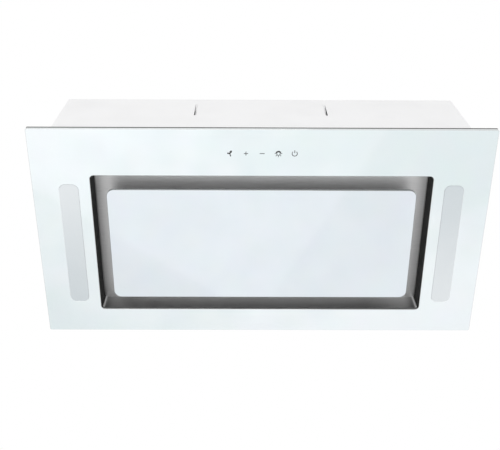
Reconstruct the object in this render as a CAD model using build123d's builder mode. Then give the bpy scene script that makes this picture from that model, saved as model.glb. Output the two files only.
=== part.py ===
from build123d import *
import os
from math import cos, radians, sin

# A ceiling range hood with perimeter suction.  Millimetres, +X right, +Y to the back, +Z up.
# The origin is the centre of the ceiling plane, the plane on which the fascia's gasket seats.
# Below it hangs the glass fascia, and above it, hidden in the ceiling, stands the steel body.

# ---- Driving dimensions: fascia ----
FASCIA_WIDTH = 900.0
FASCIA_DEPTH = 455.0
FASCIA_CORNER_R = 3.5
GLASS_T = 6.0
GLASS_ARRIS = 0.8
FLANGE_DROP = 14.0          # from the ceiling down to the visible face of the glass
CARRIER_T = 1.5             # steel frame bonded to the back of the glass
CARRIER_INSET = 1.5
GASKET_WIDTH = 12.0

# ---- Driving dimensions: recess and suction gap ----
OPENING_SIDE_BORDER = 114.0  # glass left at each side of the opening
OPENING_FRONT_BORDER = 96.0
OPENING_BACK_BORDER = 53.0
OPENING_CORNER_R = 8.0
SUCTION_GAP = 30.0
RECESS_DEPTH = 50.0         # from the face of the glass up to the recess floor
RECESS_T = 1.0
DECK_T = 1.2
RECESS_FOOT = 10.0          # lower flange of the recess wall
RECESS_BRIM = 10.0          # upper flange of the recess wall

# ---- Driving dimensions: body ----
BODY_SETBACK = 27.5         # from the edge of the glass in to the body's side
BODY_HEIGHT = 256.0         # above the ceiling plane
SHEET_T = 1.0
SHEET_FLANGE = 12.0

# ---- Driving dimensions: centre panel and its hinges ----
PANEL_CORNER_R = 15.0
TRAY_T = 1.0
TRAY_INSET = 8.0
TRAY_HEIGHT = 9.0
HINGE_FROM_SIDE = 76.0      # from the panel's side in to the middle of a hinge
HINGE_FROM_EDGE = 8.5       # from the panel's back edge forward to the hinge axis
HINGE_ABOVE_CEILING = 8.0
HINGE_PIN_R = 2.5
HINGE_FIT = 0.05
KNUCKLE_R = 6.0
KNUCKLE_WIDTH = 14.0
CHEEK_T = 2.0
CHEEK_GAP = 0.5             # side play of the knuckle between its cheeks
CATCH_FROM_SIDE = 14.0
CATCH_FROM_EDGE = 46.0      # from the panel's front edge back to the catches

# ---- Driving dimensions: lights ----
LIGHT_WIDTH = 38.0
LIGHT_END_SET = 19.5        # a light is this much shorter than the opening, at each end
LIGHT_CORNER_R = 12.0
LIGHT_FROM_SIDE = 71.0
LIGHT_FIT = 0.2
LENS_LIP = 4.0
LENS_LIP_T = 1.5
LIGHT_TRAY_HEIGHT = 18.0
LED_COUNT = 12

# ---- Driving dimensions: touch keys ----
KEY_PITCH = 31.25
KEY_FROM_EDGE = 49.0        # from the front edge of the glass back to the row of keys
KEY_COUNT = 5
SYMBOL_STROKE = 1.45
SYMBOL_T = 0.3
BOARD_T = 1.6

# ---- Driving dimensions: grease filters ----
FILTER_BAR = 22.0           # bar of the deck between the two filter holes
FILTER_SIDE_STRIP = 57.0    # strips of the deck beside, in front of and behind the filter holes
FILTER_FRONT_STRIP = 56.0
FILTER_BACK_STRIP = 44.0
FILTER_SIDE_GAP = 2.0
FILTER_FRONT_GAP = 1.5
FILTER_REST = 8.0           # how far the back of a filter lies on the deck
FILTER_HEIGHT = 9.0
FILTER_RAIL = 12.0
FILTER_FRONT_RAIL = 26.0
MESH_T = 4.6
LATCH_REACH = 5.0           # how far a bolt reaches over the front of its hole
LATCH_TRAVEL = 7.0
LATCH_PLAY = 0.3

# ---- Driving dimensions: duct collar and its flaps ----
COLLAR_R = 75.0
COLLAR_T = 1.5
COLLAR_HEIGHT = 50.0
COLLAR_FLANGE_R = 92.0
COLLAR_FLANGE_T = 2.0
COLLAR_Y = 40.0
FLAP_T = 1.2
FLAP_PIN_R = 1.5
FLAP_PIN_FIT = 0.05
FLAP_ABOVE_PLATE = 10.0
FLAP_EDGE_GAP = 1.2

# ---- Driving dimensions: blower ----
BLOWER_SPARE = 4.8          # the wheel's radius is a third of the clear height less this
BLOWER_GAP = 5.8            # between the filters and the scroll
IMPELLER_WIDTH = 84.0
BLADE_COUNT = 36
SCROLL_T = 2.0
SCROLL_SIDE_GAP = 3.0
SHAFT_R = 4.0
SHAFT_FIT = 0.05
MOTOR_R = 46.0
MOTOR_LENGTH = 60.0

# ---- Driving dimensions: hanging holes and mains inlet ----
HANGER_FROM_SIDE = 32.5
HANGER_FROM_END = 35.0
HANGER_HOLE_R = 4.5
BOX_FROM_SIDE = 92.5        # control box and gland, from the left side of the body
GLAND_FROM_BACK = 50.0
GLAND_BORE_R = 4.5
GLAND_THREAD_R = 10.0

# ---- Fits ----
SEAT_GAP = 0.3              # between pieces that are pushed together by hand
SCREW_FIT = 0.1

os.makedirs("parts", exist_ok=True)


def save(piece, name):
    """Labels a finished piece and writes it under the name of its node."""
    piece.part.label = name
    export_step(piece.part, f"parts/{name}.step")


# ---- Heights that follow from the driving dimensions ----
FACE_Z = -FLANGE_DROP
GLASS_BACK_Z = FACE_Z + GLASS_T
CARRIER_TOP_Z = GLASS_BACK_Z + CARRIER_T
DECK_Z = FACE_Z + RECESS_DEPTH
DECK_TOP_Z = DECK_Z + DECK_T
FILTER_TOP_Z = DECK_TOP_Z + FILTER_HEIGHT
PLATE_Z = BODY_HEIGHT - SHEET_T

# ---- Plan positions that follow ----
BODY_WIDTH = FASCIA_WIDTH - 2 * BODY_SETBACK
BODY_DEPTH = FASCIA_DEPTH - 2 * BODY_SETBACK
OPENING_WIDTH = FASCIA_WIDTH - 2 * OPENING_SIDE_BORDER
OPENING_DEPTH = FASCIA_DEPTH - OPENING_FRONT_BORDER - OPENING_BACK_BORDER
OPENING_Y = FASCIA_DEPTH / 2 - OPENING_BACK_BORDER - OPENING_DEPTH / 2
PANEL_WIDTH = OPENING_WIDTH - 2 * SUCTION_GAP
PANEL_DEPTH = OPENING_DEPTH - 2 * SUCTION_GAP
PANEL_BACK_Y = OPENING_Y + PANEL_DEPTH / 2
PANEL_FRONT_Y = OPENING_Y - PANEL_DEPTH / 2
KEY_Y = -FASCIA_DEPTH / 2 + KEY_FROM_EDGE
HINGE_X = PANEL_WIDTH / 2 - HINGE_FROM_SIDE
CATCH_X = PANEL_WIDTH / 2 - CATCH_FROM_SIDE
LIGHT_X = FASCIA_WIDTH / 2 - LIGHT_FROM_SIDE
LIGHT_LENGTH = OPENING_DEPTH - 2 * LIGHT_END_SET
LIGHT_SPOTS = [(-LIGHT_X, OPENING_Y), (LIGHT_X, OPENING_Y)]
FILTER_HOLE_WIDTH = (OPENING_WIDTH - FILTER_BAR) / 2 - FILTER_SIDE_STRIP
FILTER_HOLE_DEPTH = OPENING_DEPTH - FILTER_FRONT_STRIP - FILTER_BACK_STRIP
HANGER_X = BODY_WIDTH / 2 - HANGER_FROM_SIDE
HANGER_Y = BODY_DEPTH / 2 - HANGER_FROM_END
BOX_X = -(BODY_WIDTH / 2 - BOX_FROM_SIDE)
GLAND_X = BOX_X
GLAND_Y = BODY_DEPTH / 2 - GLAND_FROM_BACK
SIDES = ((-1, "left"), (1, "right"))

# =====================================================================================
# Fascia: glass, steel carrier and ceiling gasket
# =====================================================================================


def key_x(index):
    """Place of one touch key along the row, counted from the left."""
    return (index - (KEY_COUNT - 1) / 2) * KEY_PITCH


# The symbols are read from below with the front edge up, so their up is -Y.
FAN_PETALS = (              # turn, reach, length and width of each petal
    (-58.0, 4.0, 6.0, 4.2),
    (72.0, 3.9, 5.4, 2.2),
    (188.0, 2.8, 4.6, 3.0),
)
FAN_HUB_R = 1.7
PLUS_SIZE = 8.0
MINUS_SIZE = 9.4
LAMP_R = 4.2
LAMP_CAP = 1.6
LAMP_CAP_SHARE = 0.35       # the cap covers the ring above this share of its radius
LAMP_RAY = 2.2
LAMP_RAY_GAP = 0.8
LAMP_RAY_TURNS = (0.0, 45.0, 90.0, 135.0, 180.0)
POWER_R = 5.7
POWER_GAP_ANGLE = 70.0
POWER_BAR_SHARE = 0.7


def draw_symbols():
    """Adds the five key symbols to the sketch that is open: fan, plus, minus, lamp and power."""
    with Locations((key_x(0), KEY_Y)):
        Circle(FAN_HUB_R)
        for turn, reach, length, width in FAN_PETALS:
            with Locations((reach * cos(radians(turn)), reach * sin(radians(turn)))):
                Ellipse(length / 2, width / 2, rotation=turn)
    with Locations((key_x(1), KEY_Y)):
        Rectangle(PLUS_SIZE, SYMBOL_STROKE)
        Rectangle(SYMBOL_STROKE, PLUS_SIZE)
    with Locations((key_x(2), KEY_Y)):
        Rectangle(MINUS_SIZE, SYMBOL_STROKE)
    with Locations((key_x(3), KEY_Y)):
        Circle(LAMP_R + LAMP_CAP)
        with Locations((0, LAMP_R * (1 - LAMP_CAP_SHARE))):
            Rectangle(2 * (LAMP_R + LAMP_CAP), 2 * LAMP_R, mode=Mode.SUBTRACT)
        Rectangle(2 * (LAMP_R + LAMP_CAP), 2 * LAMP_CAP_SHARE * LAMP_R, mode=Mode.SUBTRACT)
        Circle(LAMP_R)
        Circle(LAMP_R - SYMBOL_STROKE, mode=Mode.SUBTRACT)
        for turn in LAMP_RAY_TURNS:
            reach = LAMP_R + LAMP_RAY_GAP + LAMP_RAY / 2
            with Locations((reach * cos(radians(turn)), reach * sin(radians(turn)))):
                Rectangle(LAMP_RAY, SYMBOL_STROKE, rotation=turn)
    with Locations((key_x(4), KEY_Y)):
        Circle(POWER_R)
        Circle(POWER_R - SYMBOL_STROKE, mode=Mode.SUBTRACT)
        with Locations((0, -POWER_R)):
            Rectangle(POWER_R * 2 * sin(radians(POWER_GAP_ANGLE / 2)), POWER_R, mode=Mode.SUBTRACT)
        with Locations((0, -POWER_R * POWER_BAR_SHARE)):
            Rectangle(SYMBOL_STROKE, POWER_R)


with BuildPart() as fascia_glass:
    with BuildSketch(Plane.XY.offset(FACE_Z)):
        RectangleRounded(FASCIA_WIDTH, FASCIA_DEPTH, FASCIA_CORNER_R)
        with Locations((0, OPENING_Y)):
            RectangleRounded(OPENING_WIDTH, OPENING_DEPTH, OPENING_CORNER_R, mode=Mode.SUBTRACT)
        with Locations(*LIGHT_SPOTS):
            RectangleRounded(LIGHT_WIDTH, LIGHT_LENGTH, LIGHT_CORNER_R, mode=Mode.SUBTRACT)
    extrude(amount=GLASS_T)
    chamfer(fascia_glass.edges().group_by(Axis.Z)[0], length=GLASS_ARRIS)
    with BuildSketch(Plane.XY.offset(FACE_Z)):
        draw_symbols()
    extrude(amount=SYMBOL_T, mode=Mode.SUBTRACT)
save(fascia_glass, "fascia_glass")

with BuildPart() as touch_symbols:
    with BuildSketch(Plane.XY.offset(FACE_Z)):
        draw_symbols()
    extrude(amount=SYMBOL_T)
save(touch_symbols, "touch_symbols")

# The carrier is open over the recess, over the lenses and over the touch board.
TOUCH_BOARD_SIZE = (KEY_PITCH * (KEY_COUNT + 1), 28.0)
TOUCH_BOARD_GAP = 2.0
TOUCH_BOARD_R = 2.0
TOUCH_WINDOW = (TOUCH_BOARD_SIZE[0] + 2 * TOUCH_BOARD_GAP, TOUCH_BOARD_SIZE[1] + 2 * TOUCH_BOARD_GAP)
TOUCH_WINDOW_R = 3.0
TOUCH_BOX_WALL = 2.0
TOUCH_BOX_HEIGHT = 12.0
TOUCH_BOX_EAR = 14.0
TOUCH_BOX_SIZE = (TOUCH_WINDOW[0] + 2 * TOUCH_BOX_WALL, TOUCH_WINDOW[1] + 2 * TOUCH_BOX_WALL)
SMALL_SCREW_R = 1.5
SMALL_HEAD_R = 2.9
SMALL_HEAD_T = 1.8
SMALL_DRIVE_R = 1.3
RECESS_REVEAL = 0.5         # the recess wall stands back this far from the edge of the glass
RECESS_WIDTH = OPENING_WIDTH + 2 * RECESS_REVEAL
RECESS_DEPTH_Y = OPENING_DEPTH + 2 * RECESS_REVEAL
RECESS_R = OPENING_CORNER_R + RECESS_REVEAL
LENS_SIZE = (LIGHT_WIDTH - 2 * LIGHT_FIT, LIGHT_LENGTH - 2 * LIGHT_FIT)
LENS_LIP_SIZE = (LIGHT_WIDTH + 2 * LENS_LIP, LIGHT_LENGTH + 2 * LENS_LIP)
LIGHT_TRAY_WALL = 1.0
LIGHT_TRAY_GAP = 0.5
LIGHT_TRAY_GROWTH = 2 * (LIGHT_TRAY_WALL + LIGHT_TRAY_GAP)
LIGHT_TRAY_SIZE = (LENS_LIP_SIZE[0] + LIGHT_TRAY_GROWTH, LENS_LIP_SIZE[1] + LIGHT_TRAY_GROWTH)
LIGHT_TRAY_R = 3.0
LIGHT_TAB = 12.0
LIGHT_SCREW_Y = LIGHT_TRAY_SIZE[1] / 2 + LIGHT_TAB / 2
LIGHT_SCREWS = [(x, OPENING_Y + end * LIGHT_SCREW_Y) for x, _ in LIGHT_SPOTS for end in (-1, 1)]
TOUCH_SCREWS = [(side * (TOUCH_BOX_SIZE[0] + TOUCH_BOX_EAR) / 2, KEY_Y) for side in (-1, 1)]

# Screws through the bottom flanges of the body into the carrier.
FLANGE_MID = SHEET_T + SHEET_FLANGE / 2
CARRIER_SCREW_R = 1.75
CARRIER_HEAD_R = 3.4
CARRIER_HEAD_T = 2.2
LONG_SCREW_XS = (-0.42, -0.25, 0.25, 0.42)
SHORT_SCREW_YS = (-0.3, 0.0, 0.3)
LONG_SIDE_SCREWS = [
    (share * BODY_WIDTH, side * (BODY_DEPTH / 2 - FLANGE_MID)) for share in LONG_SCREW_XS for side in (-1, 1)
]
SHORT_SIDE_SCREWS = [
    (side * (BODY_WIDTH / 2 - FLANGE_MID), share * BODY_DEPTH) for share in SHORT_SCREW_YS for side in (-1, 1)
]
CARRIER_SCREWS = LONG_SIDE_SCREWS + SHORT_SIDE_SCREWS
CARRIER_WIDTH = FASCIA_WIDTH - 2 * CARRIER_INSET
CARRIER_DEPTH = FASCIA_DEPTH - 2 * CARRIER_INSET
CARRIER_CORNER_R = FASCIA_CORNER_R - CARRIER_INSET

with BuildPart() as fascia_carrier:
    with BuildSketch(Plane.XY.offset(GLASS_BACK_Z)):
        RectangleRounded(CARRIER_WIDTH, CARRIER_DEPTH, CARRIER_CORNER_R)
        with Locations((0, OPENING_Y)):
            RectangleRounded(RECESS_WIDTH, RECESS_DEPTH_Y, RECESS_R, mode=Mode.SUBTRACT)
        with Locations(*LIGHT_SPOTS):
            RectangleRounded(
                LENS_LIP_SIZE[0] + 2 * LIGHT_FIT,
                LENS_LIP_SIZE[1] + 2 * LIGHT_FIT,
                LIGHT_CORNER_R + LENS_LIP,
                mode=Mode.SUBTRACT,
            )
        with Locations((0, KEY_Y)):
            RectangleRounded(*TOUCH_WINDOW, TOUCH_WINDOW_R, mode=Mode.SUBTRACT)
        with Locations(*CARRIER_SCREWS):
            Circle(CARRIER_SCREW_R + SCREW_FIT, mode=Mode.SUBTRACT)
        with Locations(*LIGHT_SCREWS, *TOUCH_SCREWS):
            Circle(SMALL_SCREW_R + SCREW_FIT, mode=Mode.SUBTRACT)
    extrude(amount=CARRIER_T)
save(fascia_carrier, "fascia_carrier")

with BuildPart() as ceiling_gasket:
    with BuildSketch(Plane.XY.offset(CARRIER_TOP_Z)):
        RectangleRounded(CARRIER_WIDTH, CARRIER_DEPTH, CARRIER_CORNER_R)
        Rectangle(CARRIER_WIDTH - 2 * GASKET_WIDTH, CARRIER_DEPTH - 2 * GASKET_WIDTH, mode=Mode.SUBTRACT)
    extrude(amount=-CARRIER_TOP_Z)
save(ceiling_gasket, "ceiling_gasket")

# =====================================================================================
# Touch keys: board against the back of the glass, under a screwed box
# =====================================================================================
TOUCH_CHIP = (12.0, 12.0)
TOUCH_CHIP_X = 0.25 * TOUCH_BOARD_SIZE[0]
TOUCH_PLUG = (18.0, 6.0)
TOUCH_PLUG_X = -0.3 * TOUCH_BOARD_SIZE[0]
TOUCH_PART_T = 1.6
with BuildPart() as touch_board:
    with BuildSketch(Plane.XY.offset(GLASS_BACK_Z)):
        with Locations((0, KEY_Y)):
            RectangleRounded(*TOUCH_BOARD_SIZE, TOUCH_BOARD_R)
    extrude(amount=BOARD_T)
    with BuildSketch(Plane.XY.offset(GLASS_BACK_Z + BOARD_T)):
        with Locations((TOUCH_CHIP_X, KEY_Y)):
            Rectangle(*TOUCH_CHIP)
        with Locations((TOUCH_PLUG_X, KEY_Y)):
            Rectangle(*TOUCH_PLUG)
    extrude(amount=TOUCH_PART_T)
save(touch_board, "touch_board")

IR_SIZE = (7.0, 5.0, 4.0)
IR_X = 0.4 * TOUCH_BOARD_SIZE[0]
with BuildPart() as ir_receiver:
    with BuildSketch(Plane.XY.offset(GLASS_BACK_Z + BOARD_T)):
        with Locations((IR_X, KEY_Y)):
            Rectangle(IR_SIZE[0], IR_SIZE[1])
    extrude(amount=IR_SIZE[2])
save(ir_receiver, "ir_receiver")

with BuildPart() as touch_box:
    with BuildSketch(Plane.XY.offset(CARRIER_TOP_Z)):
        with Locations((0, KEY_Y)):
            RectangleRounded(*TOUCH_BOX_SIZE, TOUCH_WINDOW_R)
    extrude(amount=TOUCH_BOX_HEIGHT)
    with BuildSketch(Plane.XY.offset(CARRIER_TOP_Z)):
        with Locations((0, KEY_Y)):
            RectangleRounded(TOUCH_BOX_SIZE[0] + 2 * TOUCH_BOX_EAR, TOUCH_BOX_SIZE[1] / 2, TOUCH_WINDOW_R)
    extrude(amount=TOUCH_BOX_WALL)
    with BuildSketch(Plane.XY.offset(CARRIER_TOP_Z)):
        with Locations((0, KEY_Y)):
            Rectangle(*TOUCH_WINDOW)
    extrude(amount=TOUCH_BOX_HEIGHT - TOUCH_BOX_WALL, mode=Mode.SUBTRACT)
    with BuildSketch(Plane.XY.offset(CARRIER_TOP_Z)):
        with Locations(*TOUCH_SCREWS):
            Circle(SMALL_SCREW_R + SCREW_FIT)
    extrude(amount=TOUCH_BOX_WALL, mode=Mode.SUBTRACT)
save(touch_box, "touch_box")

# =====================================================================================
# Lights: lens in a slot of the glass, board with diodes, tray above
# =====================================================================================
LED_BOARD_END = 4.0
LED_BOARD_SIZE = (24.0, LIGHT_LENGTH - 2 * LED_BOARD_END)
LED_PITCH = LED_BOARD_SIZE[1] / LED_COUNT
LED_CHIP = (5.0, 5.0, 1.0)
LIGHT_ROOF_Z = CARRIER_TOP_Z + LIGHT_TRAY_HEIGHT - LIGHT_TRAY_WALL
for side, name in SIDES:
    with BuildPart() as light_lens:
        with BuildSketch(Plane.XY.offset(FACE_Z)):
            with Locations((side * LIGHT_X, OPENING_Y)):
                RectangleRounded(*LENS_SIZE, LIGHT_CORNER_R - LIGHT_FIT)
        extrude(amount=GLASS_T)
        with BuildSketch(Plane.XY.offset(GLASS_BACK_Z)):
            with Locations((side * LIGHT_X, OPENING_Y)):
                RectangleRounded(*LENS_LIP_SIZE, LIGHT_CORNER_R + LENS_LIP)
        extrude(amount=LENS_LIP_T)
    save(light_lens, f"light_lens_{name}")

    with BuildPart() as light_tray:
        with BuildSketch(Plane.XY.offset(CARRIER_TOP_Z)):
            with Locations((side * LIGHT_X, OPENING_Y)):
                RectangleRounded(*LIGHT_TRAY_SIZE, LIGHT_TRAY_R)
        extrude(amount=LIGHT_TRAY_HEIGHT)
        with BuildSketch(Plane.XY.offset(CARRIER_TOP_Z)):
            with Locations((side * LIGHT_X, OPENING_Y)):
                RectangleRounded(
                    LIGHT_TRAY_SIZE[0] - 2 * LIGHT_TRAY_WALL,
                    LIGHT_TRAY_SIZE[1] - 2 * LIGHT_TRAY_WALL,
                    LIGHT_TRAY_R - LIGHT_TRAY_WALL,
                )
        extrude(amount=LIGHT_TRAY_HEIGHT - LIGHT_TRAY_WALL, mode=Mode.SUBTRACT)
        with BuildSketch(Plane.XY.offset(CARRIER_TOP_Z)):
            for end in (-1, 1):
                with Locations((side * LIGHT_X, OPENING_Y + end * (LIGHT_SCREW_Y - LIGHT_TRAY_WALL / 2))):
                    Rectangle(LIGHT_TRAY_SIZE[0] / 2, LIGHT_TAB + LIGHT_TRAY_WALL)
            for x, y in LIGHT_SCREWS:
                if x * side > 0:
                    with Locations((x, y)):
                        Circle(SMALL_SCREW_R + SCREW_FIT, mode=Mode.SUBTRACT)
        extrude(amount=LIGHT_TRAY_WALL)
    save(light_tray, f"light_tray_{name}")

with BuildPart() as led_boards:
    with BuildSketch(Plane.XY.offset(LIGHT_ROOF_Z - BOARD_T)):
        with Locations(*LIGHT_SPOTS):
            Rectangle(*LED_BOARD_SIZE)
    extrude(amount=BOARD_T)
    with BuildSketch(Plane.XY.offset(LIGHT_ROOF_Z - BOARD_T - LED_CHIP[2])):
        with Locations(*LIGHT_SPOTS):
            with GridLocations(0, LED_PITCH, 1, LED_COUNT):
                Rectangle(LED_CHIP[0], LED_CHIP[1])
    extrude(amount=LED_CHIP[2])
save(led_boards, "led_boards")

# =====================================================================================
# Recess: wrapped stainless wall and the deck that holds the filters
# =====================================================================================
WALL_OUT_WIDTH = RECESS_WIDTH + 2 * RECESS_T
WALL_OUT_DEPTH = RECESS_DEPTH_Y + 2 * RECESS_T
WALL_OUT_R = RECESS_R + RECESS_T
BRIM_SIZE = (WALL_OUT_WIDTH + 2 * RECESS_BRIM, WALL_OUT_DEPTH + 2 * RECESS_BRIM)
FOOT_SIZE = (WALL_OUT_WIDTH + 2 * RECESS_FOOT, WALL_OUT_DEPTH + 2 * RECESS_FOOT)
with BuildPart() as recess_wall:
    with BuildSketch(Plane.XY.offset(CARRIER_TOP_Z)):
        with Locations((0, OPENING_Y)):
            RectangleRounded(WALL_OUT_WIDTH, WALL_OUT_DEPTH, WALL_OUT_R)
    extrude(amount=DECK_Z - CARRIER_TOP_Z)
    with BuildSketch(Plane.XY.offset(CARRIER_TOP_Z)):
        with Locations((0, OPENING_Y)):
            RectangleRounded(*FOOT_SIZE, WALL_OUT_R + RECESS_FOOT)
    extrude(amount=RECESS_T)
    with BuildSketch(Plane.XY.offset(DECK_Z - RECESS_T)):
        with Locations((0, OPENING_Y)):
            RectangleRounded(*BRIM_SIZE, WALL_OUT_R + RECESS_BRIM)
    extrude(amount=RECESS_T)
    with BuildSketch(Plane.XY.offset(CARRIER_TOP_Z)):
        with Locations((0, OPENING_Y)):
            RectangleRounded(RECESS_WIDTH, RECESS_DEPTH_Y, RECESS_R)
    extrude(amount=DECK_Z - CARRIER_TOP_Z, mode=Mode.SUBTRACT)
save(recess_wall, "recess_wall")

FILTER_X = (FILTER_BAR + FILTER_HOLE_WIDTH) / 2
FILTER_HOLE_FRONT = OPENING_Y - OPENING_DEPTH / 2 + FILTER_FRONT_STRIP
FILTER_HOLE_BACK = FILTER_HOLE_FRONT + FILTER_HOLE_DEPTH
FILTER_HOLE_Y = (FILTER_HOLE_FRONT + FILTER_HOLE_BACK) / 2
FILTER_HOLE_R = 4.0
with BuildPart() as filter_deck:
    with BuildSketch(Plane.XY.offset(DECK_Z)):
        with Locations((0, OPENING_Y)):
            RectangleRounded(*BRIM_SIZE, WALL_OUT_R + RECESS_BRIM)
        with Locations((-FILTER_X, FILTER_HOLE_Y), (FILTER_X, FILTER_HOLE_Y)):
            RectangleRounded(FILTER_HOLE_WIDTH, FILTER_HOLE_DEPTH, FILTER_HOLE_R, mode=Mode.SUBTRACT)
    extrude(amount=DECK_T)
save(filter_deck, "filter_deck")

# =====================================================================================
# Grease filters: aluminium frame, mesh pad and spring latch
# =====================================================================================
FILTER_WIDTH = FILTER_HOLE_WIDTH - 2 * FILTER_SIDE_GAP
FILTER_FRONT = FILTER_HOLE_FRONT + FILTER_FRONT_GAP
FILTER_BACK = FILTER_HOLE_BACK + FILTER_REST
FILTER_DEPTH = FILTER_BACK - FILTER_FRONT
FILTER_Y = (FILTER_FRONT + FILTER_BACK) / 2
MESH_WIDTH = FILTER_WIDTH - 2 * FILTER_RAIL
MESH_DEPTH = FILTER_DEPTH - FILTER_RAIL - FILTER_FRONT_RAIL
MESH_Y = FILTER_BACK - FILTER_RAIL - MESH_DEPTH / 2
FILTER_CORNER_R = 3.0
MESH_GROOVE = 4.0
MESH_Z = DECK_TOP_Z + (FILTER_HEIGHT - MESH_T) / 2
MESH_HOLES = (15, 11)
MESH_BAR = 0.6              # metal left between the corners of two diamond holes
MESH_PITCH = min(MESH_WIDTH / MESH_HOLES[0], MESH_DEPTH / MESH_HOLES[1])
MESH_HOLE = (MESH_PITCH - MESH_BAR) * cos(radians(45))
LATCH_NECK = 24.0           # width of the bolt
LATCH_WING = 4.0            # ribs that run in the frame, each side
LATCH_NECK_T = 1.6
LATCH_WING_T = 2.4
LATCH_BOTTOM = DECK_TOP_Z + LATCH_PLAY
LATCH_TIP = FILTER_HOLE_FRONT - LATCH_REACH
LATCH_LENGTH = 20.0
LATCH_TAB = (18.0, 3.0, 9.0)
LATCH_TAB_BACK = 6.0        # from the front of the filter back to the finger tab
LATCH_TAB_Y = FILTER_FRONT + LATCH_TAB_BACK + LATCH_TAB[1] / 2
LATCH_WING_SET = 1.0        # the ribs start this far inside the filter
LATCH_BACK = LATCH_TIP + LATCH_LENGTH
LATCH_WING_FRONT = FILTER_FRONT + LATCH_WING_SET
LATCH_WAY_LENGTH = LATCH_BACK + LATCH_TRAVEL + LATCH_PLAY - FILTER_FRONT
LATCH_WAY_Y = FILTER_FRONT + LATCH_WAY_LENGTH / 2
for side, name in SIDES:
    with BuildPart() as filter_frame:
        with BuildSketch(Plane.XY.offset(DECK_TOP_Z)):
            with Locations((side * FILTER_X, FILTER_Y)):
                RectangleRounded(FILTER_WIDTH, FILTER_DEPTH, FILTER_CORNER_R)
            with Locations((side * FILTER_X, MESH_Y)):
                Rectangle(MESH_WIDTH, MESH_DEPTH, mode=Mode.SUBTRACT)
        extrude(amount=FILTER_HEIGHT)
        with BuildSketch(Plane.XY.offset(MESH_Z - SEAT_GAP / 2)):
            with Locations((side * FILTER_X, MESH_Y)):
                Rectangle(MESH_WIDTH + 2 * MESH_GROOVE, MESH_DEPTH + 2 * MESH_GROOVE)
        extrude(amount=MESH_T + SEAT_GAP, mode=Mode.SUBTRACT)
        # The way of the latch: a narrow slot that is open below, and a wider one for its ribs.
        with BuildSketch(Plane.XY.offset(DECK_TOP_Z)):
            with Locations((side * FILTER_X, LATCH_WAY_Y)):
                Rectangle(LATCH_NECK + 2 * LATCH_PLAY, LATCH_WAY_LENGTH)
        extrude(amount=LATCH_NECK_T + 2 * LATCH_PLAY, mode=Mode.SUBTRACT)
        with BuildSketch(Plane.XY.offset(LATCH_BOTTOM + LATCH_NECK_T - LATCH_PLAY)):
            with Locations((side * FILTER_X, LATCH_WAY_Y)):
                Rectangle(LATCH_NECK + 2 * LATCH_WING + 2 * LATCH_PLAY, LATCH_WAY_LENGTH)
        extrude(amount=LATCH_WING_T + 2 * LATCH_PLAY, mode=Mode.SUBTRACT)
    save(filter_frame, f"filter_frame_{name}")

    with BuildPart() as filter_mesh:
        with BuildSketch(Plane.XY.offset(MESH_Z)):
            with Locations((side * FILTER_X, MESH_Y)):
                Rectangle(MESH_WIDTH + 2 * MESH_GROOVE - SEAT_GAP, MESH_DEPTH + 2 * MESH_GROOVE - SEAT_GAP)
                with GridLocations(MESH_WIDTH / MESH_HOLES[0], MESH_DEPTH / MESH_HOLES[1], *MESH_HOLES):
                    Rectangle(MESH_HOLE, MESH_HOLE, rotation=45, mode=Mode.SUBTRACT)
        extrude(amount=MESH_T)
    save(filter_mesh, f"filter_mesh_{name}")

    with BuildPart() as filter_latch:
        with BuildSketch(Plane.XY.offset(LATCH_BOTTOM)):
            with Locations((side * FILTER_X, LATCH_TIP + LATCH_LENGTH / 2)):
                Rectangle(LATCH_NECK, LATCH_LENGTH)
        extrude(amount=LATCH_NECK_T + LATCH_WING_T)
        with BuildSketch(Plane.XY.offset(LATCH_BOTTOM + LATCH_NECK_T)):
            with Locations((side * FILTER_X, (LATCH_WING_FRONT + LATCH_BACK) / 2)):
                Rectangle(LATCH_NECK + 2 * LATCH_WING, LATCH_BACK - LATCH_WING_FRONT)
        extrude(amount=LATCH_WING_T)
        with BuildSketch(Plane.XY.offset(LATCH_BOTTOM - LATCH_TAB[2])):
            with Locations((side * FILTER_X, LATCH_TAB_Y)):
                Rectangle(LATCH_TAB[0], LATCH_TAB[1])
        extrude(amount=LATCH_TAB[2])
    save(filter_latch, f"filter_latch_{name}")

# =====================================================================================
# Centre panel: glass, tray, hinge arms, strikers
# =====================================================================================
with BuildPart() as panel_glass:
    with BuildSketch(Plane.XY.offset(FACE_Z)):
        with Locations((0, OPENING_Y)):
            RectangleRounded(PANEL_WIDTH, PANEL_DEPTH, PANEL_CORNER_R)
    extrude(amount=GLASS_T)
    chamfer(panel_glass.edges().group_by(Axis.Z)[0], length=GLASS_ARRIS)
save(panel_glass, "panel_glass")

TRAY_FLOOR_Z = GLASS_BACK_Z + TRAY_T
TRAY_R = PANEL_CORNER_R - TRAY_INSET
TRAY_WIDTH = PANEL_WIDTH - 2 * TRAY_INSET
TRAY_DEPTH = PANEL_DEPTH - 2 * TRAY_INSET
with BuildPart() as panel_tray:
    with BuildSketch(Plane.XY.offset(GLASS_BACK_Z)):
        with Locations((0, OPENING_Y)):
            RectangleRounded(TRAY_WIDTH, TRAY_DEPTH, TRAY_R)
    extrude(amount=TRAY_HEIGHT)
    with BuildSketch(Plane.XY.offset(TRAY_FLOOR_Z)):
        with Locations((0, OPENING_Y)):
            RectangleRounded(TRAY_WIDTH - 2 * TRAY_T, TRAY_DEPTH - 2 * TRAY_T, TRAY_R - TRAY_T)
    extrude(amount=TRAY_HEIGHT, mode=Mode.SUBTRACT)
save(panel_tray, "panel_tray")

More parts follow.
